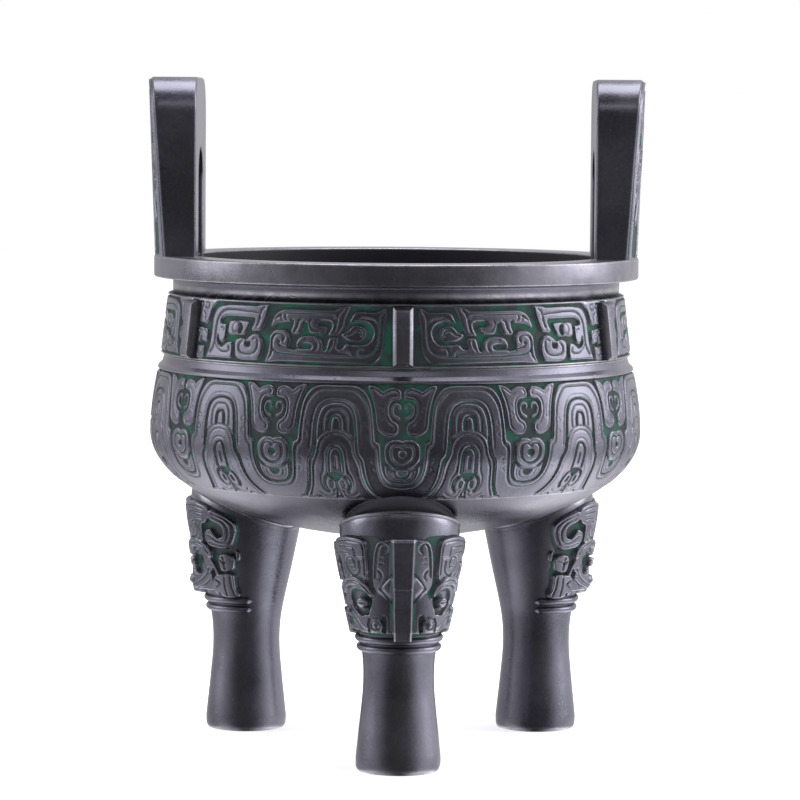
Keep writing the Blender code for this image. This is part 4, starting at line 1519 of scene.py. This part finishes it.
    def shaft(self, name: str, leg: float) -> bpy.types.Object:
        """Build the plain leg, from the cove under the bowl to its foot.

        Args:
            name: Name of the piece.
            leg: The way the leg faces, round from +X.

        Returns:
            The finished piece.
        """
        turn = np.linspace(-math.pi, math.pi, self.steps + 1)
        turn[-1] = turn[0]
        made = self.shaft_rows(turn)
        reach, depth = (np.array(values) for values in zip(*made))
        mesh, column, row = numbered_grid(self.steps, len(made) - 1)
        places = self.around(leg, leg + turn[column], reach[row, column], depth[row, column])
        move_corners(mesh, places)
        # The cove's rows under the bowl get a low level, so the finish paints shade over them.
        set_number(mesh, "level", 0.12 + 0.88 * soft_step((row - 11.0) / 6.0))
        clean(mesh, cap_ends=True)
        note_edges(mesh, 0.25, None)
        # The cove is also marked hollow: more painted shade there, and no lightened rubbed edges.
        in_cove = soft_step((0.6 - read_number(mesh, "level")) / 0.4)
        set_number(mesh, "hollow", read_number(mesh, "hollow") * (1.0 - in_cove) + 0.5 * in_cove)
        return self.shop.piece(name, mesh, self.plain)

    def rings(self, name: str, leg: float, turned: float, drop: float) -> bpy.types.Object:
        """Lay two bead rings round the outside of the leg, with their ends run out.

        Args:
            name: Name of the piece.
            leg: The way the leg faces, round from +X.
            turned: How far the rings are turned on the leg.
            drop: How far lower they are set.

        Returns:
            The finished piece.
        """
        columns, rows = 96, 12
        work = bpy.data.meshes.new(name)
        joined = bmesh.new()
        for depth in self.ring_depths:
            mesh, column, row = numbered_grid(columns, rows)
            share = 2.0 * column / columns - 1.0
            angle = 2.0 * math.pi * row / rows
            end = soft_step((1.0 - np.abs(share)) / 0.06)
            thick = self.ring_radius * (0.35 + 0.65 * end)
            turn = turned + share * math.radians(self.ring_turn)
            lift = thick * np.cos(angle) + 0.0004 * end - 0.0004 * (1.0 - end)
            places = self.spot(leg, turn, depth + drop + thick * np.sin(angle), lift)
            move_corners(mesh, places)
            clean(mesh, cap_ends=True)
            joined.from_mesh(mesh)
            bpy.data.meshes.remove(mesh)
        joined.to_mesh(work)
        joined.free()
        note_edges(work, 0.6)
        set_number(work, "hollow", np.maximum(read_number(work, "hollow"), -0.3))
        return self.shop.piece(name, work, self.carved)

    def carve(self, tablet: Tablet) -> None:
        """Cut half of a mask: across is round the leg from the nose, down is the depth.

        Args:
            tablet: The field to carve.
        """
        deg = math.pi / 180.0 * self.flat_radius

        def at(points: Points) -> list[Point]:
            """Turn (degrees from the nose, depth) into places on the field."""
            return [(turn * deg, depth) for turn, depth in points]

        def disc(centre: Point, radius: float) -> list[Point]:
            """Return places round a circle of a radius in millimetres."""
            turns = [math.pi * k / 4.0 for k in range(8)]
            x, y = at([centre])[0]
            return [(x + radius * math.cos(t), y + radius * math.sin(t)) for t in turns]

        plain = self.radius(tablet.down * MM) / MM
        aside = soft_step((tablet.across / deg - 36.0) / 26.0)
        face_level = (24.6 - plain) * (1.0 - aside) + 2.3 * aside

        base = [
            (20, 116.8), (50, 115.2), (82, 117.8), (108, 124), (108, 132), (101, 139), (108, 147),
            (106, 150), (84, 151), (60, 141), (34, 140), (20, 137)
        ]
        tablet.raise_plate(at(base), 0.3, 0.5)
        face = [
            (-6, 130.5), (30, 131), (40, 134.4), (60, 137.4), (73, 140.4), (84, 148), (86, 157.3),
            (86, 157.3), (-6, 157.4), (-6, 157.4)
        ]
        tablet.raise_plate(at(face), face_level, 0.45)

        forehead = [
            (-6, 116.2), (18, 116.2), (23.8, 117.4), (26.8, 120.4), (28.9, 125), (30.2, 131),
            (30.4, 137), (24, 139.4), (-6, 139.4)
        ]
        tablet.raise_plate(at(forehead), 2.25, 0.4)
        cane = [
            (16.6, 121.6), (14.6, 120.4), (15.4, 118.6), (18.6, 117.9), (21.8, 119.0),
            (23.6, 122.2), (25.2, 127), (27.0, 132.4)
        ]
        tablet.stroke(at(cane), 0.8, -0.75)
        for y in (123.8, 126.2):
            tablet.stroke(at([(19.0, y), (22.0, y + 0.3)]), 0.5, -0.4)
        tablet.stroke(at([(24, 129.0), (21, 130.3), (20.2, 132.2), (22.2, 133.6)]), 0.7, -0.5)
        tablet.raise_plate(at([
            (-6, 131.6), (9, 132.0), (21.5, 137.3), (9, 142.4), (-6, 142.8)
        ]), 3.6, 1.9)
        tablet.stroke(at([(10.5, 131.0), (22.8, 137.3), (22.8, 137.3), (10.5, 143.4)]), 0.9, -0.75)

        horn = [
            (34.4, 121), (35.4, 117.8), (39.6, 116.1), (60, 115.5), (76, 117.0), (80, 118.8),
            (79.6, 121.6), (75.6, 124.6), (70.4, 125.6), (69.4, 129), (68.6, 133.4), (64, 134.8),
            (39, 134.9), (35.2, 133.0), (33.9, 126.6)
        ]
        tablet.raise_plate(at(horn), 2.6, 0.4)
        tablet.strokes((
            ([(37.2, 131.8), (36.8, 126), (37.0, 120.2), (39.8, 117.9), (48, 117.4), (60, 117.3),
              (72, 118.4)], 0.75, -0.65),
            ([(71, 120.4), (58, 119.9), (50.4, 120.0), (47.8, 121.2), (47.2, 123.6)], 0.75, -0.65),
            ([(70, 122.9), (60, 122.6), (55.4, 122.9)], 0.75, -0.6),
            ([(37.4, 124.2), (43.4, 124.5), (46.6, 124.0)], 0.6, -0.6),
            ([(43.0, 125.6), (42.8, 129.4), (46.4, 131.8), (52, 132.2), (57.6, 130.4),
              (60.4, 126.8), (57.0, 124.6), (51.4, 124.7), (48.2, 126.6), (49.6, 128.8),
              (52.6, 128.4)], 0.8, -0.75),
            ([(63.4, 125.6), (64.6, 129), (61.6, 132.4), (55.0, 133.6)], 0.7, -0.5),
        ), at)

        spiral = [
            (81.5, 118.6), (95, 120.8), (106.2, 124.2), (107.4, 127.2), (105.2, 131), (102, 134.6),
            (97, 136.5), (87, 136.4), (76, 135.4), (71.2, 132), (73.2, 128.6), (80, 127.4),
            (84.4, 129.6), (88.4, 131.4), (92.6, 130.4), (93.2, 127.2), (90, 125.2), (79.6, 123.0),
            (78.9, 120.2)
        ]
        tablet.raise_plate(at(spiral), 2.75, 0.4)
        tablet.strokes((
            ([(83.5, 120.0), (95, 122.0), (104.0, 125.2), (105.0, 128), (102.6, 132), (98.4, 134.8),
              (88, 134.9), (77.4, 133.8)], 0.75, -0.6),
            ([(84.5, 121.9), (94, 123.7), (98.8, 126.4), (99.4, 129.8), (96.4, 132.8), (89, 133.2),
              (81, 131.4), (76.4, 130.4)], 0.7, -0.55),
        ), at)

        leaf = [
            (85.5, 141.6), (88, 139.6), (96, 139.0), (103, 140.0), (104.8, 143), (102, 146.4),
            (95, 147.6), (88.5, 147.2), (86, 145)
        ]
        tablet.raise_plate(at(leaf), 2.6, 0.4)
        for end in ((87.4, 141.8), (91.4, 140.2), (102.0, 141.5), (93.2, 146.0)):
            tablet.stroke(at([(92.5, 143.2), end]), 0.65, -0.6)
        tablet.raise_plate(at([
            (106, 137.4), (110.6, 138.6), (110.6, 141.4), (106.4, 142.2)
        ]), 1.8, 0.4)

        brow = [
            (29.4, 139.9), (35, 136.2), (43, 133.7), (54, 132.9), (66, 134.0), (77, 137.0),
            (78.4, 141.2), (72.6, 140.9), (66, 138.4), (56, 136.9), (46, 137.0), (38, 138.9),
            (31.6, 141.6)
        ]
        tablet.raise_plate(at(brow), 4.2 - 1.1 * aside, 0.45)
        tablet.stroke(at([
            (32.4, 139.9), (38, 136.8), (46, 135.0), (56, 134.7), (66, 136.0), (74.6, 139.4)
        ]), 0.7, -0.7)
        socket = [
            (33.4, 142.6), (38, 140.2), (46, 138.6), (56, 138.6), (61.4, 141), (60, 146),
            (53, 149.2), (44, 149.6), (36, 147.6)
        ]
        tablet.sink(at(socket), 0.9, 0.4)
        tablet.channel(at([(36.0, 141.6), (37.8, 145.4), (37.6, 148.4)]), 1.5, 0.2, 0.3)
        tablet.raise_plate(disc((42.5, 144.1), 2.4), 4.4, 0.45)
        tablet.dome(at([(42.5, 144.1)])[0], 2.6, 0.7)
        tablet.stroke(at([(38.6, 144.1), (46.4, 144.1)]), 0.85, -1.3)

        tablet.sink(at([
            (17.4, 150.4), (21, 149.6), (21.6, 153.6), (21, 157.0), (17.4, 156.6)
        ]), 2.2, 0.4)
        tablet.raise_plate(disc((27.2, 153.6), 2.75), 6.3, 0.45)
        tablet.stroke(disc((27.2, 153.6), 2.0), 0.8, -0.8, closed=True)
        tablet.dome(at([(27.2, 153.6)])[0], 1.35, 0.8)
        tablet.strokes((
            ([(34.6, 150.8), (36.4, 153.8), (34.4, 156.8)], 0.8, -0.8),
            ([(38, 155.2), (50, 152.9), (62, 149.6), (68.4, 147.0)], 0.75, -0.65),
            ([(40, 157.0), (56, 154.7), (68, 151.9)], 0.75, -0.65),
            ([(62.6, 144.6), (65.6, 146.6), (70.4, 146.2)], 0.7, -0.5),
        ), at)
        tablet.channel(at([(76.6, 146.8), (77.0, 149.6), (75.6, 152.4)]), 0.8, 0.7, 0.3)
        tablet.raise_plate(disc((72.0, 149.3), 1.8), 3.6, 0.4)
        tablet.stroke(disc((72.0, 149.3), 1.1), 0.6, -0.5, closed=True)

        muzzle = [
            (72.6, 154.2), (78.4, 150.2), (84, 148.9), (92, 148.5), (102.6, 148.5), (104.4, 152),
            (105.4, 155.6), (110.4, 158.6), (103, 159.8), (92, 159.8), (85.4, 158.8), (84.0, 157.6),
            (82.4, 158.9), (76, 157.4)
        ]
        tablet.raise_plate(at(muzzle), 3.3, 0.4)
        tablet.strokes((
            ([(80.5, 151.3), (85.6, 152.9), (80.8, 154.8)], 0.75, -0.65),
            ([(99.6, 149.6), (100.8, 154.4), (104.4, 158.2)], 0.75, -0.55),
            ([(92.4, 149.8), (92.0, 154.0), (94.0, 158.6)], 0.7, -0.5),
        ), at)

    def add_nose(self, tablet: Tablet) -> None:
        """Stand the bevelled nose over the carved half mask.

        Args:
            tablet: The carved field.
        """
        rows = np.array(self.nose)
        reach = np.interp(tablet.down, rows[:, 0], rows[:, 1])
        wide = np.interp(tablet.down, rows[:, 0], rows[:, 2])
        turn = np.minimum(tablet.across / self.flat_radius, 0.5)
        aside = reach * np.tan(turn)
        reach = reach - np.clip(aside - wide + self.nose_chamfer, 0.0, self.nose_chamfer) * 0.9
        ends = np.minimum(tablet.down - rows[0, 0], rows[-1, 0] - tablet.down)
        reach -= np.clip(0.8 - ends, 0.0, 0.8)
        seam = np.clip(1.0 - np.abs(tablet.down - 137.7) / 0.45, 0.0, 1.0)
        reach -= 0.35 * seam
        ridge = reach / np.cos(turn) - self.radius(tablet.down * MM) / MM
        share = soft_step((wide + 0.25 - aside) / 0.5) * soft_step((ends + 0.3) / 0.5)
        raised = tablet.height + (ridge - tablet.height) * share
        tablet.height = np.where(ridge > tablet.height, raised, tablet.height)

    def mask(self, name: str, leg: float, turned: float, drop: float) -> bpy.types.Object:
        """Wrap a mask round the outside of a leg.

        Args:
            name: Name of the piece.
            leg: The way the leg faces, round from +X.
            turned: How far the mask is turned on the leg.
            drop: How far lower it is set.

        Returns:
            The finished piece.
        """
        wide = math.radians(self.mask_turn) * self.flat_radius
        down = np.linspace(self.mask_top, self.mask_bottom, self.rows + 1)
        tablet = Tablet(np.linspace(0.0, wide, self.columns // 2 + 1), down)
        self.carve(tablet)
        self.add_nose(tablet)
        edge = np.minimum(tablet.down - self.mask_top, self.mask_bottom - tablet.down)
        edge = np.minimum(edge, wide - tablet.across)
        # Uncut ground sinks into the leg, so that only the figures show.
        bare = 0.05
        tablet.height = np.where(tablet.height < bare, -0.5, tablet.height)
        tablet.height = np.where(edge < 0.3, -0.9, tablet.height)
        heights = mirrored(tablet.relief())
        inlay = Inlay(heights, down * MM, self.mask_sunk)
        angle = turned + inlay.spread(-1.0, 1.0) * math.radians(self.mask_turn)
        # What lies inside the leg stays under the crease, or it would stand in the cove.
        top = self.crease(angle) + 0.0004 - drop + 0.02 * (inlay.down - self.mask_top * MM)
        depth = np.where(inlay.lift < 0.0, np.maximum(inlay.down, top), inlay.down)
        reach = self.radius(depth) + inlay.lift
        move_corners(inlay.mesh, self.around(leg, leg + angle, reach, depth + drop))
        level = np.clip(heights / (1.4 * MM), 0.0, 1.0)
        level = np.where(heights < bare * MM, 0.8, level)
        inlay.mark(1.6 * MM, level, 0.8)
        clean(inlay.mesh, cap_ends=True)
        return self.shop.piece(name, inlay.mesh, self.carved)


# Finishes -------------------------------------------------------------------------------------


@dataclass
class Wiring:
    """Adds nodes to a tree and joins them up."""

    tree: bpy.types.NodeTree

    def node(self, kind: str, **values: object) -> bpy.types.Node:
        """Add a node and set its named properties."""
        added = self.tree.nodes.new(kind)
        for key, value in values.items():
            setattr(added, key, value)
        return added

    def feed(self, slot: Socket, value: Value | Colour) -> None:
        """Join an input to an output, or give it a fixed value."""
        if isinstance(value, Socket):
            self.tree.links.new(value, slot)
        else:
            slot.default_value = value

    def attribute(self, name: str) -> Socket:
        """Read a number stored on the mesh."""
        return self.node("ShaderNodeAttribute", attribute_name=name).outputs["Fac"]

    def noise(self, spot: Socket, scale: float, detail: float) -> Socket:
        """Add a noise pattern on a set of coordinates."""
        pattern = self.node("ShaderNodeTexNoise")
        self.feed(pattern.inputs["Scale"], scale)
        self.feed(pattern.inputs["Detail"], detail)
        self.feed(pattern.inputs["Vector"], spot)
        return pattern.outputs["Fac"]

    def ramp(self, value: Socket, low: float, high: float, start: float, end: float) -> Socket:
        """Map a span of values smoothly to another, and hold it outside.

        Args:
            value: The value to map.
            low: Where the span begins.
            high: Where it ends.
            start: What its beginning is mapped to.
            end: What its end is mapped to.

        Returns:
            The mapped value.
        """
        mapped = self.node("ShaderNodeMapRange", clamp=True, interpolation_type="SMOOTHSTEP")
        span = {"From Min": low, "From Max": high, "To Min": start, "To Max": end}
        for name, number in span.items():
            self.feed(mapped.inputs[name], number)
        self.feed(mapped.inputs["Value"], value)
        return mapped.outputs["Result"]

    def maths(self, kind: str, first: Value, second: Value) -> Socket:
        """Combine two numbers."""
        added = self.node("ShaderNodeMath", operation=kind)
        self.feed(added.inputs[0], first)
        self.feed(added.inputs[1], second)
        return added.outputs["Value"]

    def mix(self, share: Socket, first: Socket | Colour, second: Socket | Colour) -> Socket:
        """Mix two colours by a share."""
        added = self.node("ShaderNodeMix", data_type="RGBA")
        self.feed(added.inputs["Factor"], share)
        ends = [slot for slot in added.inputs if slot.type == "RGBA"]
        self.feed(ends[0], first)
        self.feed(ends[1], second)
        return [slot for slot in added.outputs if slot.type == "RGBA"][0]


class Surface(Enum):
    """How a piece was finished in the workshop."""

    PLAIN = "plain"
    CARVED = "carved"


@dataclass(frozen=True)
class Bronze:
    """Dark satin bronze, worn lighter on its edges, dirty and green where the carving lies deep,
    with painted shade in its recesses, inside the bowl and in the legs' coves.

    Attributes:
        surface: How the piece was finished.
        dark: Metal in the dark clouds.
        light: Metal in the light clouds.
        worn: Metal on edges that hands have rubbed.
        green: Patina in the sunk ground.
        deep: Dark dirt in the sunk ground, together with painted shade in the carving's recesses.
        painted_shade: Painted shade over the bowl's inside, the legs' coves and the creases of
            plain pieces.
        cloud: Scale and detail of the large clouds of tone.
        grain: Scale and detail of the fine grain.
        patch: Scale and detail of the patches of patina and wear.
        speck: Scale and detail of the finest bumps.
        dent: Scale and detail of the soft dents.
        pit: Scale and detail of the casting pits.
        bump_strength: How strongly the bumps show.
        bump_height: Height in metres that the bumps stand for.
    """

    surface: Surface
    dark: Colour = (0.180, 0.177, 0.226, 1.0)
    light: Colour = (0.275, 0.268, 0.330, 1.0)
    worn: Colour = (0.470, 0.450, 0.490, 1.0)
    green: Colour = (0.006, 0.105, 0.066, 1.0)
    deep: Colour = (0.006, 0.016, 0.018, 1.0)
    painted_shade: Colour = (0.018, 0.018, 0.028, 1.0)
    cloud: Point = (30.0, 4.0)
    grain: Point = (900.0, 5.0)
    patch: Point = (140.0, 3.0)
    speck: Point = (2200.0, 2.0)
    dent: Point = (55.0, 2.0)
    pit: Point = (420.0, 2.0)
    bump_strength: float = 0.22
    bump_height: float = 0.0002

    def material(self) -> bpy.types.Material:
        """Build the material."""
        made = bpy.data.materials.new(f"bronze_{self.surface.value}")
        made.use_nodes = True
        wire = Wiring(made.node_tree)
        shader = made.node_tree.nodes["Principled BSDF"]
        spot = wire.node("ShaderNodeTexCoord").outputs["Object"]
        cloud, grain = wire.noise(spot, *self.cloud), wire.noise(spot, *self.grain)
        colour, sunk = self.colour(wire, spot, cloud, grain)
        wire.feed(shader.inputs["Base Color"], colour)
        wire.feed(shader.inputs["Metallic"], wire.ramp(sunk, 0.0, 0.8, 1.0, 0.1))
        rough = wire.ramp(cloud, 0.3, 0.7, 0.27, 0.36)
        rough = wire.maths("ADD", rough, wire.ramp(grain, 0.3, 0.7, -0.03, 0.04))
        rough = wire.maths("ADD", rough, wire.ramp(sunk, 0.0, 1.0, 0.0, 0.3))
        wire.feed(shader.inputs["Roughness"], rough)
        wire.feed(shader.inputs["Normal"], self.bumps(wire, spot, grain))
        return made

    def colour(
        self, wire: Wiring, spot: Socket, cloud: Socket, grain: Socket
    ) -> tuple[Socket, Socket]:
        """Lay the metal's colour, its worn edges, the dirt and patina in its hollows and the
        painted shade in its recesses.

        Args:
            wire: The material's nodes.
            spot: Coordinates on the piece.
            cloud: The large clouds of tone.
            grain: The fine grain.

        Returns:
            The colour, and how far the metal is darkened by dirt, patina and painted shade.
        """
        hollow, level = wire.attribute("hollow"), wire.attribute("level")
        patch = wire.noise(spot, *self.patch)
        tone = wire.ramp(cloud, 0.35, 0.65, 0.0, 0.7)
        tone = wire.maths("ADD", tone, wire.ramp(grain, 0.3, 0.7, 0.0, 0.3))
        colour = wire.mix(tone, self.dark, self.light)
        edge = wire.ramp(hollow, -0.95, -0.25, 0.75, 0.0)
        edge = wire.maths("MULTIPLY", edge, wire.ramp(patch, 0.3, 0.6, 0.4, 1.0))
        colour = wire.mix(edge, colour, self.worn)
        if self.surface is Surface.PLAIN:
            # Plain pieces get painted shade where their level is low (the bowl's inside and the
            # legs' coves) and in concave creases.
            sunk = wire.ramp(level, 0.0, 1.0, 0.95, 0.0)
            sunk = wire.maths("MAXIMUM", sunk, wire.ramp(hollow, 0.3, 1.0, 0.0, 0.4))
            return wire.mix(sunk, colour, self.painted_shade), sunk
        # Carved pieces get dark dirt and painted shade where the ground lies low or hollow, then
        # green patina in patches.
        sunk = wire.ramp(level, 0.10, 0.60, 1.0, 0.0)
        sunk = wire.maths("MAXIMUM", sunk, wire.ramp(hollow, 0.04, 0.22, 0.0, 0.9))
        colour = wire.mix(wire.maths("MULTIPLY", sunk, 0.9), colour, self.deep)
        greenness = wire.maths("MULTIPLY", sunk, wire.ramp(patch, 0.46, 0.64, 0.08, 0.95))
        return wire.mix(greenness, colour, self.green), sunk

    def bumps(self, wire: Wiring, spot: Socket, grain: Socket) -> Socket:
        """Roughen the surface with grain, specks, dents and pits.

        Args:
            wire: The material's nodes.
            spot: Coordinates on the piece.
            grain: The fine grain.

        Returns:
            The bent normal.
        """
        speck = wire.maths("MULTIPLY", wire.noise(spot, *self.speck), 0.35)
        height = wire.maths("ADD", grain, speck)
        dent = wire.maths("MULTIPLY", wire.noise(spot, *self.dent), 7.0)
        height = wire.maths("ADD", height, dent)
        pit = wire.ramp(wire.noise(spot, *self.pit), 0.24, 0.34, -1.5, 0.0)
        height = wire.maths("ADD", height, pit)
        bump = wire.node("ShaderNodeBump")
        wire.feed(bump.inputs["Strength"], self.bump_strength)
        wire.feed(bump.inputs["Distance"], self.bump_height)
        wire.feed(bump.inputs["Height"], height)
        return bump.outputs["Normal"]


# Studio ---------------------------------------------------------------------------------------


@dataclass
class Studio:
    """Pale floor, soft lights and the camera."""

    axis: Vector = field(default_factory=lambda: Vector((0.0, 0.0, 0.0)))
    distance: float = 1.705
    eye_height: float = RIM_HEIGHT + 0.064
    azimuth: float = math.radians(-1.65)
    aside: float = math.radians(-0.0703)
    pitch: float = math.radians(4.363)
    roll: float = math.radians(0.41)
    lens: float = 168.66
    film: float = 36.0
    floor_radius: float = 6.0
    floor_glow: float = 0.70
    lit_point: Triple = (0.0, 0.0, 0.14)
    boxes: Sequence[tuple[str, Triple, Point, float]] = (
        ("left_box", (-1.5, 0.1, 0.7), (0.8, 1.2), 4.5),
        ("right_box", (1.5, 0.1, 0.7), (0.8, 1.2), 8.0),
        ("top_box", (0.0, 0.2, 1.8), (1.6, 1.2), 16.0),
        ("front_strip", (0.0, -1.5, 1.15), (1.0, 0.25), 1.0),
    )

    def floor(self) -> bpy.types.Object:
        """Lay a wide pale floor."""
        work = bmesh.new()
        bmesh.ops.create_circle(work, cap_ends=True, segments=64, radius=self.floor_radius)
        mesh = bpy.data.meshes.new("floor")
        work.to_mesh(mesh)
        work.free()
        item = bpy.data.objects.new("floor", mesh)
        bpy.context.scene.collection.objects.link(item)
        paint = bpy.data.materials.new("pale_floor")
        paint.use_nodes = True
        shader = paint.node_tree.nodes["Principled BSDF"]
        shader.inputs["Base Color"].default_value = (0.92, 0.92, 0.93, 1.0)
        shader.inputs["Roughness"].default_value = 0.9
        shader.inputs["Emission Color"].default_value = (1.0, 1.0, 1.0, 1.0)
        shader.inputs["Emission Strength"].default_value = self.floor_glow
        mesh.materials.append(paint)
        item.visible_glossy = False
        return item

    def light(self, name: str, place: Triple, size: Point, power: float) -> None:
        """Hang a soft box that faces the vessel.

        Args:
            name: Name of the light.
            place: Its x, y and z.
            size: Its width and height.
            power: Watts.
        """
        lamp = bpy.data.lights.new(name, "AREA")
        lamp.shape = "RECTANGLE"
        lamp.size, lamp.size_y = size
        lamp.energy = power
        item = bpy.data.objects.new(name, lamp)
        item.location = place
        look = Vector(self.lit_point) - Vector(place)
        item.rotation_euler = look.to_track_quat("-Z", "Y").to_euler()
        bpy.context.scene.collection.objects.link(item)

    def sky(self) -> None:
        """Set the room: white to look at, and for the metal bright all round but dark in front."""
        world = bpy.data.worlds.new("room")
        bpy.context.scene.world = world
        world.use_nodes = True
        wire = Wiring(world.node_tree)
        back = world.node_tree.nodes["Background"]
        split = wire.node("ShaderNodeSeparateXYZ")
        wire.feed(split.inputs["Vector"], wire.node("ShaderNodeTexCoord").outputs["Generated"])
        x, y, z = split.outputs["X"], split.outputs["Y"], split.outputs["Z"]
        aside = wire.maths("ABSOLUTE", x, 0.0)
        behind = wire.maths("ADD", y, wire.maths("MULTIPLY", aside, 0.8))
        side = wire.ramp(x, -0.9, 0.9, 0.50, 0.85)
        around = wire.maths("MULTIPLY", wire.ramp(behind, -0.50, 0.60, 0.16, 1.25), side)
        floor = wire.ramp(z, -0.62, -0.40, 2.8, 0.85)
        floor = wire.maths("SUBTRACT", floor, wire.ramp(z, -0.85, -0.50, 1.7, 0.0))
        around = wire.maths("MULTIPLY", around, floor)
        below = wire.ramp(z, -0.75, -0.35, 1.0, 0.0)
        below = wire.maths("MULTIPLY", below, wire.ramp(aside, 0.08, 0.30, 0.93, 0.0))
        room = wire.maths("MULTIPLY", around, wire.maths("SUBTRACT", 1.0, below))
        seen = wire.node("ShaderNodeMix")
        path = wire.node("ShaderNodeLightPath")
        wire.feed(seen.inputs["Factor"], path.outputs["Is Camera Ray"])
        wire.feed(seen.inputs["A"], room)
        wire.feed(seen.inputs["B"], 1.0)
        wire.feed(back.inputs["Strength"], seen.outputs["Result"])
        wire.feed(back.inputs["Color"], (1.0, 1.0, 1.0, 1.0))

    def camera(self) -> None:
        """Set the camera up in front, a little above the rim."""
        lens = bpy.data.cameras.new("camera")
        lens.lens = self.lens
        lens.sensor_width = self.film
        lens.clip_start, lens.clip_end = 0.05, 50.0
        item = bpy.data.objects.new("camera", lens)
        out = Vector((math.sin(self.azimuth), -math.cos(self.azimuth), 0.0))
        item.location = self.axis + out * self.distance + Vector((0.0, 0.0, self.eye_height))
        turn = Matrix.Rotation(self.azimuth + self.aside, 4, "Z")
        turn @= Matrix.Rotation(math.pi / 2.0 - self.pitch, 4, "X")
        turn @= Matrix.Rotation(self.roll, 4, "Z")
        item.rotation_euler = turn.to_euler()
        bpy.context.scene.collection.objects.link(item)
        bpy.context.scene.camera = item

    def make(self) -> None:
        """Set up the whole studio."""
        self.floor()
        self.sky()
        for name, place, size, power in self.boxes:
            self.light(name, place, size, power)
        self.camera()
        bpy.context.scene.view_settings.view_transform = "Standard"


def main() -> None:
    """Build every piece of the vessel in order, then the studio."""
    logging.basicConfig(level=logging.INFO, format="%(name)s %(message)s")
    plain = Bronze(Surface.PLAIN).material()
    carved = Bronze(Surface.CARVED).material()
    shop = Workshop()
    wall = BowlWall()
    Bowl(wall, shop, plain).make()
    WaveBand(wall, shop, carved).make()
    DragonBand(wall, shop, carved).make()
    Flanges(wall, shop, plain).make()
    handle = Handle(wall, shop, carved)
    handle.make("handle_right", 0.0)
    handle.make("handle_left", math.pi)
    leg = Leg(wall, shop, plain, carved)
    for name, facing, turned, drop in LEG_PLACES:
        facing, turned = math.radians(facing), math.radians(turned)
        leg.shaft(f"leg_{name}", facing)
        leg.rings(f"leg_rings_{name}", facing, turned, drop)
        leg.mask(f"mask_{name}", facing, turned, drop)
    Studio().make()
    LOG.info("%d pieces", len(shop.made))


if __name__ == "__main__":
    main()
